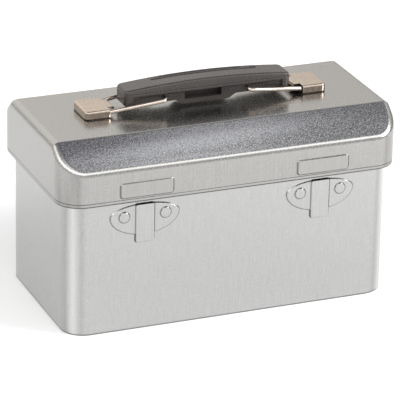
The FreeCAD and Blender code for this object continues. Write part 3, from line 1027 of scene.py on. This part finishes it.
        # No painted shade on the slopes and roof.
        mark_heights(mesh, self.fold_z - 0.5, self.high.z + 1.0, 0.0)
        self.crease_hem(mesh)
        curl_rim(mesh, rim(mesh, self.low.z), self.hem_r, True, self.hem_leg)
        # Painted shade along the hem's roll, where the lid overhangs the body.
        mark_heights(mesh, self.low.z, self.low.z + self.hem_r + 0.01, self.hem_shade)
        self.cut_notches(mesh)
        to_object(mesh, "lid_pressing", SHADED_LID_TIN, Mounting("lid", "tinplate", ("lid_shell",)),
                  wall_mm=self.wall)


# ---------------------------------------------------------------- body
@dataclass
class BodyShell:
    """The box's wall with its rolled rims, and the floor pressed up inside it."""

    corner_r: float = 14.0
    hem_r: float = 0.5
    hem_leg: float = 4.0
    wall: float = 0.4
    latch_x: float = 54.5
    shield_z: float = 71.4
    shield: tuple[float, float, float] = (21.0, 6.7, 12.0)     # half width, height above and below the waist
    shield_rise: float = 0.7
    strap_w: float = 11.5
    strap_z: tuple[float, float] = (54.7, 78.2)
    strap_rise: float = 1.4
    strap_corner: float = 1.2
    stud: tuple[float, float] = (3.2, 0.8)                     # radius and rise over the shield
    stud_place: tuple[float, float] = (12.6, 71.1)
    dome_droop: float = 0.25                                   # share by which a stud's rim lies lower
    foot_r: float = 0.4
    foot_leg: float = 1.5
    cuts: tuple[float, float] = (1.1, 8.0)                     # above the foot and below the rim
    floor_gap: float = 0.5                                     # between the floor's corners and the wall's
    floor_r: float = 0.6
    flange: float = 9.0
    floor_step: tuple[float, float] = (1.2, 0.5)               # width and height of the stiffening step
    edge: float = 0.55
    latch_margin: float = 1.5
    latch_cuts: int = 130
    shield_line_shade: tuple[float, float] = (0.8, 0.35)               # painted shade of the shield's line: most of it, less on its lit upper left
    # Painted shade lines and a painted highlight round the upright corners, and painted shade along the foot
    # where the box meets the floor.
    corner_shade: float = 0.16
    corner_highlight: float = 0.5
    hem_shade: float = 0.8
    low: Vector = field(init=False)
    high: Vector = field(init=False)

    def __post_init__(self) -> None:
        """Take the outer sizes from the frame."""
        self.low, self.high = millimetre_box("body_shell")
        self.low.y = -self.high.y

    def latch_height(self, x: float, z: float) -> tuple[float, float]:
        """Shape one dummy latch: a strap over a shield with two studs.

        Args:
            x: the place's X from the latch's middle.
            z: the place's height in the box.

        Returns:
            The rise over the wall and the painted shade.
        """
        strap_mid = sum(self.strap_z) / 2
        strap_half = (self.strap_z[1] - self.strap_z[0]) / 2
        from_strap = box_distance(x, z - strap_mid, self.strap_w / 2, strap_half, self.strap_corner)
        from_shield = egg_distance(x, z - self.shield_z, *self.shield)
        away = math.hypot(abs(x) - self.stud_place[0], z - self.stud_place[1])
        strap = pressed(from_strap, self.strap_rise, self.edge)
        shield = pressed(from_shield, self.shield_rise, self.edge)
        droop = self.dome_droop * min(1.0, away / self.stud[0]) ** 2
        dome = pressed(away - self.stud[0], self.stud[1], self.edge) * (1 - droop)
        # Painted shade along the outlines of the strap, the studs and the shield, weaker on the shield's lit
        # upper left.
        lines = [outline_shade(from_strap, self.edge), outline_shade(away - self.stud[0], self.edge)]
        if from_strap > 0:
            upper_left = z > self.shield_z + 1.5 and x < 0
            lines.append(outline_shade(from_shield, self.edge) * self.shield_line_shade[upper_left])
        return max(strap, shield) + dome, max(lines)

    def build_wall(self) -> None:
        """Make the wall with its two dummy latches."""
        mesh = rounded_prism(self.low, self.high, self.corner_r, segments=24)
        drop_faces(mesh, lambda face: abs(face.normal.z) > FACING)
        reach = self.shield[0] + self.latch_margin
        for side in Side:
            centre = side.value * self.latch_x
            window = (centre - reach, centre + reach, self.strap_z[0] - self.latch_margin,
                      self.strap_z[1] + self.latch_margin)
            relief(mesh, front_patch(mesh, self.low.y, window, self.latch_cuts), (0, -1, 0),
                   lambda place: self.latch_height(place.x - centre, place.z))
        curl_rim(mesh, rim(mesh, self.high.z), self.hem_r, False, self.hem_leg)
        curl_rim(mesh, rim(mesh, self.low.z), self.foot_r, True, self.foot_leg)
        for z in (self.low.z + self.cuts[0], self.high.z - self.cuts[1]):
            split_face(mesh, [f for f in mesh.faces if f.calc_center_median().z > 1], (0, 0, z), (0, 0, 1))
        # Painted highlight on each corner's crest with painted shade lines beside it, and painted shade along
        # the foot.
        mark_corners(mesh, self.high, self.corner_r, self.corner_shade, self.corner_highlight)
        mark_heights(mesh, self.low.z, self.low.z + 0.45, self.hem_shade)
        to_object(mesh, "body_wall", TIN, Mounting("box", "tinplate", ("body_shell",)), wall_mm=self.wall)

    def build_floor(self) -> None:
        """Make the floor with its flange and a stiffening step."""
        low, high = millimetre_box("base_panel")
        mesh = rounded_prism(low, high, self.corner_r - self.floor_gap)
        drop_faces(mesh, lambda face: face.normal.z > FACING)
        rounded(mesh, [e for e in mesh.edges if level(e, low.z)], self.floor_r, 4)
        floor = [f for f in mesh.faces if f.normal.z < -NEARLY_FLAT]
        bmesh.ops.inset_region(mesh, faces=floor, thickness=self.flange, depth=0.0, use_even_offset=True)
        under = [f for f in mesh.faces if f.normal.z < -NEARLY_FLAT]
        middle = max(under, key=BMFace.calc_area)
        run, rise = self.floor_step
        bmesh.ops.inset_region(mesh, faces=[middle], thickness=run, depth=-rise, use_even_offset=True)
        to_object(mesh, "floor_panel", TIN, Mounting("box", "tinplate", ("base_panel",)), wall_mm=self.wall)

    def build(self) -> None:
        """Make the wall and the floor."""
        self.build_wall()
        self.build_floor()


# ---------------------------------------------------------------- trays
@dataclass
class Tray:
    """A pressed tray with rounded corners, a soft bottom edge and a hem turned inwards."""

    node: str
    front_r: float
    rear_r: float
    bottom_r: float = 1.6
    hem_r: float = 0.55
    hem_leg: float = 2.6
    wall: float = 0.5

    def build(self) -> None:
        """Make the tray."""
        low, high = millimetre_box(self.node)
        mesh = rounded_prism(low, high, self.front_r, self.rear_r)
        drop_faces(mesh, lambda face: face.normal.z > FACING)
        rounded(mesh, [edge for edge in mesh.edges if level(edge, low.z)], self.bottom_r, 5)
        curl_rim(mesh, rim(mesh, high.z), self.hem_r, False, self.hem_leg)
        to_object(mesh, self.node + "_pressing", TRAY_TIN, Mounting(self.node, "tray_lacquer", (self.node,)),
                  wall_mm=self.wall)


# ---------------------------------------------------------------- handle
@dataclass
class Cap:
    """A pressed cap on the roof: open towards the grip, with a tongue and four clinched tabs."""

    side: Side
    corner_r: float = 3.0
    top_r: float = 1.3
    gap: float = 0.15              # dark slit between the cap's cut edge and the roof
    wall: float = 0.6
    contact_shade_z: tuple[float, float] = (0.5, 0.9)       # where the painted shade over the cut edge, next to the roof, thins and ends
    contact_shade: float = 0.9
    tongue_reach: float = 4.1
    tongue_half_y: float = 6.4
    tongue_bend: float = 0.9
    lip_drop: float = 2.2          # from the cap's top to the end of the tongue's lip
    tab_places: tuple[float, float] = (63.5, 71.0)
    tab_w: float = 3.0
    foot: float = 2.2

    def build(self) -> None:
        """Make one cap, drawn at the right and mirrored for the left."""
        name = f"{self.side.word}_cap"
        low, high = millimetre_box("right_cap")
        under_z = low.z
        foot_z = millimetre_box("lid_shell")[1].z + self.gap
        mouth_x = low.x + self.tongue_reach
        mesh = cuboid((mouth_x, low.y, foot_z), high)
        corners = [e for e in mesh.edges if upright(e) and e.verts[0].co.x > mouth_x + 1]
        rounded(mesh, corners, self.corner_r, 8)
        mesh.normal_update()
        shoulder = [e for e in mesh.edges if level(e, high.z)
                    and max(v.co.x for v in e.verts) > mouth_x + 0.01]
        rounded(mesh, shoulder, self.top_r, 5)
        drop_faces(mesh, lambda face: face.normal.z < -FACING or face.normal.x < -FACING)
        for rise in self.contact_shade_z:
            split_face(mesh, mesh.faces[:], (0, 0, foot_z + rise), (0, 0, 1))
        self.add_tongue(mesh, low.x, mouth_x, high.z)
        self.add_tabs(mesh, foot_z, under_z)
        mesh.verts.layers.float.new(PAINTED_LIGHT)
        # Painted shade along the cut edge, next to the roof.
        mark_heights(mesh, under_z - 1, foot_z + self.contact_shade_z[0] + 0.01, self.contact_shade)
        if self.side is Side.LEFT:
            mirror(mesh)
        to_object(mesh, name + "_pressing", SATIN_NICKEL, Mounting("lid", "nickel", (name,)),
                  wall_mm=self.wall)

    def add_tongue(self, mesh: BMesh, tip_x: float, mouth_x: float, top_z: float) -> None:
        """Draw the tongue out of the top and turn its lip down.

        Args:
            mesh: the right-hand cap's outer surface, in millimetres.
            tip_x: where the lip's outer face lies.
            mouth_x: where the top ends.
            top_z: height of the top.
        """
        top = [f for f in mesh.faces if f.normal.z > NEARLY_FLAT]
        for y in (-self.tongue_half_y, self.tongue_half_y):
            top = split_face(mesh, top, (0, y, 0), (0, 1, 0))
        edges = [e for e in mesh.edges if e.is_boundary and level(e, top_z)
                 and all(abs(v.co.x - mouth_x) < NEAR_MM and abs(v.co.y) < self.tongue_half_y + NEAR_MM
                         for v in e.verts)]
        edges = drawn(mesh, edges, (tip_x + self.tongue_bend - mouth_x, 0, 0))
        edges = bent_over(mesh, edges, (-1, 0, 0), (0, 0, -1), self.tongue_bend, 4)
        drawn(mesh, edges, (0, 0, self.tongue_bend - self.lip_drop))

    def add_tabs(self, mesh: BMesh, foot_z: float, under_z: float) -> None:
        """Draw the tabs through the roof and clinch them under the backing plate.

        Args:
            mesh: the right-hand cap's outer surface, in millimetres.
            foot_z: height of the cap's cut edge.
            under_z: height of the clinched tabs' underside.
        """
        for x in self.tab_places:
            x0, x1 = x - self.tab_w / 2, x + self.tab_w / 2
            for y_side in (-1, 1):
                wall = [f for f in mesh.faces if f.normal.y * y_side > FLAT]
                for cut_x in (x0, x1):
                    wall = split_face(mesh, wall, (cut_x, 0, 0), (1, 0, 0))
                edges = [e for e in mesh.edges if e.is_boundary and level(e, foot_z)
                         and all(within(v.co.x, x0, x1) for v in e.verts) and e.verts[0].co.y * y_side > 0]
                edges = drawn(mesh, edges, (0, 0, under_z + self.wall - foot_z))
                edges = bent_over(mesh, edges, (0, 0, -1), (0, -y_side, 0), self.wall, 3)
                drawn(mesh, edges, (0, -y_side * self.foot, 0))


@dataclass
class WireLoop:
    """Bent wire: a cross-bar under the cap, two arms and two ends turned into the grip."""

    side: Side
    wire_r: float = 1.3
    bend_r: float = 2.6
    segments: int = 16
    places: tuple[tuple[float, float, float], ...] = (
        (26.0, 3.6, 122.8), (26.0, 12.6, 122.8), (66.0, 8.5, 117.6),
        (66.0, -8.5, 117.6), (26.0, -12.6, 122.8), (26.0, -3.6, 122.8))

    def build(self) -> None:
        """Make one loop, drawn at the right and mirrored for the left."""
        body = f"{self.side.word}_loop"
        node = f"{self.side.word}_wire_loop"
        mesh = bent_wire([Vector(place) for place in self.places], self.wire_r, self.bend_r, self.segments)
        if self.side is Side.LEFT:
            mirror(mesh)
        to_object(mesh, node + "_bent", NICKEL, Mounting(body, "nickel", (node,)), sharp_deg=50)


@dataclass
class GripCover:
    """The grip's upper moulding: arched, overhanging the core, with a thumb recess on its rear half."""

    corner_r: float = 3.0
    crown_r: float = 1.7
    end_z: float = 128.8
    split_z: float = 125.2
    end_block: float = 5.0
    block_r: float = 0.7           # rounding under the end blocks
    arch_step: float = 3.0         # between the cuts that let the top bend
    arch_cuts: range = range(-15, 17)
    groove_z: float = 126.5
    groove_depth: float = 0.3
    groove_half: float = 0.35
    thumb_x: tuple[float, float] = (-31.0, 36.0)
    thumb_y: tuple[float, float] = (1.9, 6.6)
    thumb_depth: float = 1.3
    thumb_edge: float = 0.6
    thumb_margin: tuple[float, float, float] = (0.6, 0.4, 0.2)     # of the fine grid: ends, front, rear
    thumb_cuts: int = 15

    def build(self) -> None:
        """Make the cover."""
        low, high = millimetre_box("grip_cover")
        mesh = cuboid((low.x, low.y, self.split_z), high)
        rounded(mesh, [e for e in mesh.edges if upright(e)], self.corner_r, 6)
        rise = high.z - self.end_z
        middle, half = (low.x + high.x) / 2, (high.x - low.x) / 2
        radius = (half ** 2 + rise ** 2) / (2 * rise)
        for i in self.arch_cuts:
            cut_through(mesh, (i * self.arch_step, 0, 0), (1, 0, 0))
        for vert in mesh.verts:
            if abs(vert.co.z - high.z) < NEAR_MM:
                vert.co.z = high.z - radius + math.sqrt(radius ** 2 - (vert.co.x - middle) ** 2)
        mesh.normal_update()
        rounded(mesh, [edge for edge in mesh.edges if self.on_crown(edge)], self.crown_r, 6)
        self.press_thumb(mesh)
        self.drop_end_blocks(mesh, low, high.x)
        heights = (self.groove_z - self.groove_half, self.groove_z, self.groove_z + self.groove_half)
        sink_line(mesh, self.groove_z, heights, self.groove_depth)
        to_object(mesh, "grip_cover_moulding", GRIP_PLASTIC,
                  Mounting("grip", "grip_plastic", ("grip_cover",)), sharp_deg=40)

    def on_crown(self, edge: BMEdge) -> bool:
        """Tell whether an edge joins the arched top to an upright side."""
        rises = sorted(face.normal.z for face in edge.link_faces)
        return len(rises) == 2 and -0.5 < rises[0] < 0.1 and rises[1] > FACING

    def press_thumb(self, mesh: BMesh) -> None:
        """Dish the long recess near the rear of the top.

        Args:
            mesh: the arched moulding, in millimetres.
        """
        x0, x1 = self.thumb_x
        y0, y1 = self.thumb_y
        ends, front, rear = self.thumb_margin
        mesh.normal_update()
        faces = [f for f in mesh.faces if f.normal.z > NEARLY_FLAT]
        for x in (x0 - ends, x1 + ends):
            faces = split_face(mesh, faces, (x, 0, 0), (1, 0, 0))
        faces = [f for f in faces if within(f.calc_center_median().x, x0 - ends, x1 + ends)]
        for y in (y0 - front, y1 + rear):
            faces = split_face(mesh, faces, (0, y, 0), (0, 1, 0))
        faces = [f for f in faces if within(f.calc_center_median().y, y0 - front, y1 + rear)]
        edges = list({e for f in faces for e in f.edges})
        bmesh.ops.subdivide_edges(mesh, edges=edges, cuts=self.thumb_cuts, use_grid_fill=True)
        half_w, half_h = (x1 - x0) / 2, (y1 - y0) / 2
        for vert in mesh.verts:
            if vert.co.z < self.end_z - self.crown_r:
                continue
            gap = box_distance(vert.co.x - (x0 + x1) / 2, vert.co.y - (y0 + y1) / 2, half_w, half_h, half_h)
            vert.co.z -= pressed(gap, self.thumb_depth, self.thumb_edge)

    def drop_end_blocks(self, mesh: BMesh, low: Vector, high_x: float) -> None:
        """Carry both ends of the moulding down beside the core.

        Args:
            mesh: the moulding above the core, in millimetres.
            low: the whole cover's lowest corner.
            high_x: where its right end lies.
        """
        inner = (low.x + self.end_block, high_x - self.end_block)
        for x in inner:
            cut_through(mesh, (x, 0, 0), (1, 0, 0))
        mesh.normal_update()
        feet = [f for f in mesh.faces if f.normal.z < -FACING
                and not inner[0] < f.calc_center_median().x < inner[1]]
        made = bmesh.ops.extrude_face_region(mesh, geom=feet)["geom"]
        bmesh.ops.delete(mesh, geom=feet, context="FACES_ONLY")
        moved = [item for item in made if isinstance(item, BMVert)]
        bmesh.ops.translate(mesh, verts=moved, vec=(0, 0, low.z - self.split_z))
        bottom = [item for item in made if isinstance(item, BMFace)]
        bmesh.ops.recalc_face_normals(mesh, faces=mesh.faces[:])
        outline = {e for f in bottom if f.is_valid for e in f.edges if e.calc_face_angle(0.0) > 1.0}
        rounded(mesh, outline, self.block_r, 3)


def drawn(mesh: BMesh, edges: list[BMEdge], step: Iterable[float]) -> list[BMEdge]:
    """Draw open edges on by one step.

    Args:
        mesh: the sheet or wire, in millimetres.
        edges: the open edges.
        step: how far and which way they go.

    Returns:
        The new open edges.
    """
    made = bmesh.ops.extrude_edge_only(mesh, edges=edges)["geom"]
    fresh = {item for item in made if isinstance(item, BMVert)}
    bmesh.ops.translate(mesh, verts=list(fresh), vec=Vector(step))
    return [item for item in made if isinstance(item, BMEdge) and all(v in fresh for v in item.verts)]


def bent_over(mesh: BMesh, edges: list[BMEdge], along: Iterable[float], toward: Iterable[float],
              radius: float, steps: int) -> list[BMEdge]:
    """Draw open edges round a quarter bend.

    Args:
        mesh: the sheet's outer surface, in millimetres.
        edges: the open edges.
        along: the direction in which the bend starts.
        toward: the direction in which it ends.
        radius: the bend's outer radius.
        steps: steps of the bend.

    Returns:
        The new open edges.
    """
    turns = [math.pi / 2 * i / steps for i in range(steps + 1)]
    places = [Vector(along) * math.sin(turn) - Vector(toward) * math.cos(turn) for turn in turns]
    for before, now in zip(places, places[1:]):
        edges = drawn(mesh, edges, (now - before) * radius)
    return edges


def bent_wire(places: list[Vector], wire_r: float, bend_r: float, segments: int, steps: int = 7,
              end_r: float = 0.3) -> BMesh:
    """Return a round wire through some corners, each bent to one radius.

    Args:
        places: its two ends and the corners between them, in millimetres.
        wire_r: the wire's radius.
        bend_r: radius of each bend at the wire's middle.
        segments: points round the wire.
        steps: steps of each bend.
        end_r: rounding of its two ends.

    Returns:
        The closed mesh.
    """
    mesh = bmesh.new()
    along = (places[1] - places[0]).normalized()
    turn = along.to_track_quat("Z", "X").to_matrix().to_4x4()
    made = bmesh.ops.create_circle(mesh, segments=segments, radius=wire_r, cap_ends=True,
                                   matrix=Matrix.Translation(places[0]) @ turn)
    edges = list({e for v in made["verts"] for e in v.link_edges})
    start = places[0]
    for before, corner, after in zip(places, places[1:], places[2:]):
        come, leave = (corner - before).normalized(), (after - corner).normalized()
        angle = come.angle(leave)
        back = bend_r * math.tan(angle / 2)
        edges = drawn(mesh, edges, corner - come * back - start)
        axis = come.cross(leave).normalized()
        centre = corner - come * back + axis.cross(come).normalized() * bend_r
        spun = bmesh.ops.spin(mesh, geom=edges, cent=centre, axis=axis, angle=angle, steps=steps,
                              use_duplicate=False)
        edges = [item for item in spun["geom_last"] if isinstance(item, BMEdge)]
        start = corner + leave * back
    edges = drawn(mesh, edges, places[-1] - start)
    bmesh.ops.contextual_create(mesh, geom=edges)
    bmesh.ops.remove_doubles(mesh, verts=mesh.verts[:], dist=HAIR_MM)
    bmesh.ops.recalc_face_normals(mesh, faces=mesh.faces[:])
    ends = [e for e in mesh.edges if any(len(f.verts) > 4 for f in e.link_faces)]
    rounded(mesh, ends, end_r, 2)
    return mesh


# ---------------------------------------------------------------- small fittings
def node_copy(node: str) -> BMesh:
    """Copy a CAD node's mesh, with its flat faces whole again.

    Args:
        node: the node's name.

    Returns:
        The copy, in millimetres.
    """
    mesh = bmesh.new()
    mesh.from_mesh(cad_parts[node].data)
    bmesh.ops.scale(mesh, vec=(1 / MM, 1 / MM, 1 / MM), verts=mesh.verts[:])
    bmesh.ops.remove_doubles(mesh, verts=mesh.verts[:], dist=0.002)
    bmesh.ops.dissolve_limit(mesh, angle_limit=math.radians(0.5), verts=mesh.verts[:], edges=mesh.edges[:])
    return mesh


@dataclass(frozen=True)
class Fitting:
    """A small part that keeps its CAD shape and gains broken edges, like the tumbled real one."""

    node: str
    body: str
    slot: str
    finish: Finish
    break_mm: float = 0.15
    steps: int = 2

    def build(self) -> None:
        """Make the fitting."""
        mesh = node_copy(self.node)
        rounded(mesh, crisp_edges(mesh), self.break_mm, self.steps)
        to_object(mesh, self.node + "_finished", self.finish,
                  Mounting(self.body, self.slot, (self.node,)))


@dataclass
class GripCore:
    """The grip's narrow lower insert, with the moulded ribs that frame its window on both sides."""

    break_mm: float = 0.35
    rib_proud: float = 0.45
    rib_h: float = 0.6
    rib_r: float = 0.18
    rib_z: tuple[float, ...] = (121.3, 122.7, 124.1)
    rib_x: tuple[tuple[float, float], ...] = ((-23.5, -14.0), (11.8, 20.5))
    far_rib_x: tuple[float, float] = (29.5, 46.5)

    def build(self) -> None:
        """Make the core and its ribs."""
        mesh = node_copy("grip_core")
        rounded(mesh, crisp_edges(mesh), self.break_mm, 2)
        half_y = millimetre_box("grip_core")[1].y
        spans = [(x, z) for x in self.rib_x for z in self.rib_z]
        spans += [(self.far_rib_x, z) for z in self.rib_z[1:]]
        for (x0, x1), z in spans:
            rib = cuboid((x0, -half_y - self.rib_proud, z - self.rib_h / 2),
                         (x1, half_y + self.rib_proud, z + self.rib_h / 2))
            rounded(rib, rib.edges[:], self.rib_r, 2)
            data = bpy.data.meshes.new("rib")
            rib.to_mesh(data)
            rib.free()
            mesh.from_mesh(data)
            bpy.data.meshes.remove(data)
        to_object(mesh, "grip_core_moulding", GRIP_PLASTIC,
                  Mounting("grip", "grip_plastic", ("grip_core",)))


@dataclass
class Fittings:
    """Hinges, linkage, rails, rivets, dividers and screws."""

    def rows(self) -> list[Fitting]:
        """List every fitting with its body, slot, finish and broken edges.

        Returns:
            The left ones, the right ones and then those that are not paired.
        """
        paired = [("hinge_lid_leaf", "lid", 0.1), ("hinge_body_leaf", "box", 0.1), ("hinge_pin", "box", 0.15),
                  ("lid_bracket", "lid", 0.15), ("link_arm", "link_arms", 0.15),
                  ("pivot_plate", "box", 0.15), ("rail", "box", 0.12), ("cap_backing_plate", "lid", 0.12)]
        riveted = [("tray_lid_rivets", "upper_tray"), ("tray_link_rivets", "upper_tray"),
                   ("body_link_rivets", "box")]
        dividers = [("upper_long_divider", "upper_tray"), ("upper_front_dividers", "upper_tray"),
                    ("upper_rear_dividers", "upper_tray"), ("lower_dividers", "lower_tray")]
        rows = [Fitting(f"{side.word}_{name}", body, "zinc_steel", ZINC, break_mm)
                for side in Side for name, body, break_mm in paired]
        rows += [Fitting(name, body, "zinc_steel", ZINC, 0.25, 3) for name, body in riveted]
        rows.append(Fitting("grip_screws", "grip", "zinc_steel", ZINC, 0.12))
        rows += [Fitting(name, body, "divider_board", BOARD, 0.2) for name, body in dividers]
        return rows

    def build(self) -> None:
        """Make them all."""
        for row in self.rows():
            row.build()


# ---------------------------------------------------------------- stage
@dataclass(frozen=True)
class SoftLight:
    """A rectangular soft light that faces a point, in metres and watts."""

    name: str
    place: tuple[float, float, float]
    aim: tuple[float, float, float]
    size: tuple[float, float]
    power: float

    def build(self) -> None:
        """Hang the light."""
        data = bpy.data.lights.new(self.name, "AREA")
        data.shape = "RECTANGLE"
        data.size, data.size_y = self.size
        data.energy = self.power
        lamp = bpy.data.objects.new(self.name, data)
        away = Vector(self.place) - Vector(self.aim)
        turn = away.to_track_quat("Z", "Y").to_matrix().to_4x4()
        lamp.matrix_world = Matrix.Translation(Vector(self.place)) @ turn
        bpy.context.scene.collection.objects.link(lamp)


# The cove's light by height, from the horizon (0) to straight above (1), to the front and to the rear.
FRONT_COVE = [(0.0, grey(0.66)), (0.16, grey(0.60)), (0.28, grey(0.32)), (0.42, grey(0.32)),
              (0.55, grey(1.8)), (0.70, grey(1.8)), (0.84, grey(0.34)), (0.95, (0.17, 0.17, 0.185, 1)),
              (1.0, (0.13, 0.13, 0.145, 1))]
REAR_COVE = [(0.0, (0.33, 0.32, 0.30, 1)), (0.40, (0.72, 0.70, 0.665, 1)), (0.60, grey(0.66)),
             (0.70, grey(0.62)), (0.84, grey(0.2)), (1.0, (0.13, 0.13, 0.145, 1))]


@dataclass
class Studio:
    """Camera, floor and lights."""

    azimuth: float = -22.41
    elevation: float = 22.60
    roll: float = 1.22
    distance: float = 1.7804
    lens: float = 270.1
    aim: tuple[float, float, float] = (0.001, 0.0, 0.05165)
    room: float = 1.9              # strength of the cove's light at the left; it halves to the right
    lights: tuple[SoftLight, ...] = (
        SoftLight("key_light", (1.5, -0.95, 1.0), (0, 0, 0.05), (0.8, 0.7), 23.5),
        SoftLight("overhead_light", (0.245, -0.15, 0.8), (0, -0.045, 0.1), (0.22, 0.12), 0.13))

    def build_camera(self) -> None:
        """Place the camera."""
        turn, rise, roll = (math.radians(v) for v in (self.azimuth, self.elevation, self.roll))
        back = Vector((math.sin(turn) * math.cos(rise), -math.cos(turn) * math.cos(rise), math.sin(rise)))
        right = Vector((math.cos(turn), math.sin(turn), 0.0))
        up = back.cross(right)
        rolled = right * math.cos(roll) + up * math.sin(roll)
        above = up * math.cos(roll) - right * math.sin(roll)
        data = bpy.data.cameras.new("camera")
        data.lens = self.lens
        data.sensor_width = 36.0
        data.clip_end = 20.0
        camera = bpy.data.objects.new("camera", data)
        basis = Matrix((rolled, above, back)).transposed().to_4x4()
        camera.matrix_world = Matrix.Translation(Vector(self.aim) + back * self.distance) @ basis
        bpy.context.scene.collection.objects.link(camera)
        bpy.context.scene.camera = camera

    def build_floor(self) -> None:
        """Lay a pale matt floor."""
        mesh = bmesh.new()
        bmesh.ops.create_grid(mesh, x_segments=1, y_segments=1, size=6.0)
        data = bpy.data.meshes.new("studio_floor")
        mesh.to_mesh(data)
        mesh.free()
        floor = bpy.data.objects.new("studio_floor", data)
        bpy.context.scene.collection.objects.link(floor)
        material = bpy.data.materials.new("white_paper")
        material.use_nodes = True
        shader = material.node_tree.nodes["Principled BSDF"]
        shader.inputs["Base Color"].default_value = linear_colour("#FAFAFA")
        shader.inputs["Roughness"].default_value = 0.9
        data.materials.append(material)

    def build_world(self) -> None:
        """Surround the box with a white cove: brightest in front, softer behind, dark overhead."""
        world = bpy.data.worlds.new("studio_room")
        world.use_nodes = True
        tree = world.node_tree
        way = add_node(tree, "ShaderNodeTexCoord").outputs["Generated"]
        split = add_node(tree, "ShaderNodeSeparateXYZ", {}, {0: way})
        front = ramp(tree, split.outputs["Z"], FRONT_COVE)
        rear = ramp(tree, split.outputs["Z"], REAR_COVE)
        share = add_node(tree, "ShaderNodeMapRange", {"From Min": -0.15, "From Max": 0.35},
                         {"Value": split.outputs["Y"]})
        tone = add_node(tree, "ShaderNodeMix", {"data_type": "RGBA"},
                        {0: share.outputs[0], 6: front, 7: rear})
        fall = add_node(tree, "ShaderNodeMapRange",
                        {"From Min": 0.1, "From Max": 0.75, "To Min": self.room, "To Max": self.room * 0.5},
                        {"Value": split.outputs["X"]})
        shade = tree.nodes["Background"]
        tree.links.new(tone.outputs[2], shade.inputs["Color"])
        tree.links.new(fall.outputs[0], shade.inputs["Strength"])
        bpy.context.scene.world = world

    def build(self) -> None:
        """Set the whole stage."""
        self.build_camera()
        self.build_floor()
        self.build_world()
        for light in self.lights:
            light.build()
        bpy.context.scene.view_settings.view_transform = "Standard"


def main() -> None:
    """Build every piece in order, then the stage."""
    logging.basicConfig(level=logging.INFO, format="%(name)s: %(message)s")
    LidShell().build()
    BodyShell().build()
    Tray("upper_tray", 12.0, 6.0).build()
    Tray("lower_tray", 12.9, 12.9).build()
    for side in Side:
        Cap(side).build()
        WireLoop(side).build()
    GripCover().build()
    GripCore().build()
    Fittings().build()
    Studio().build()


if __name__ == "__main__":
    main()
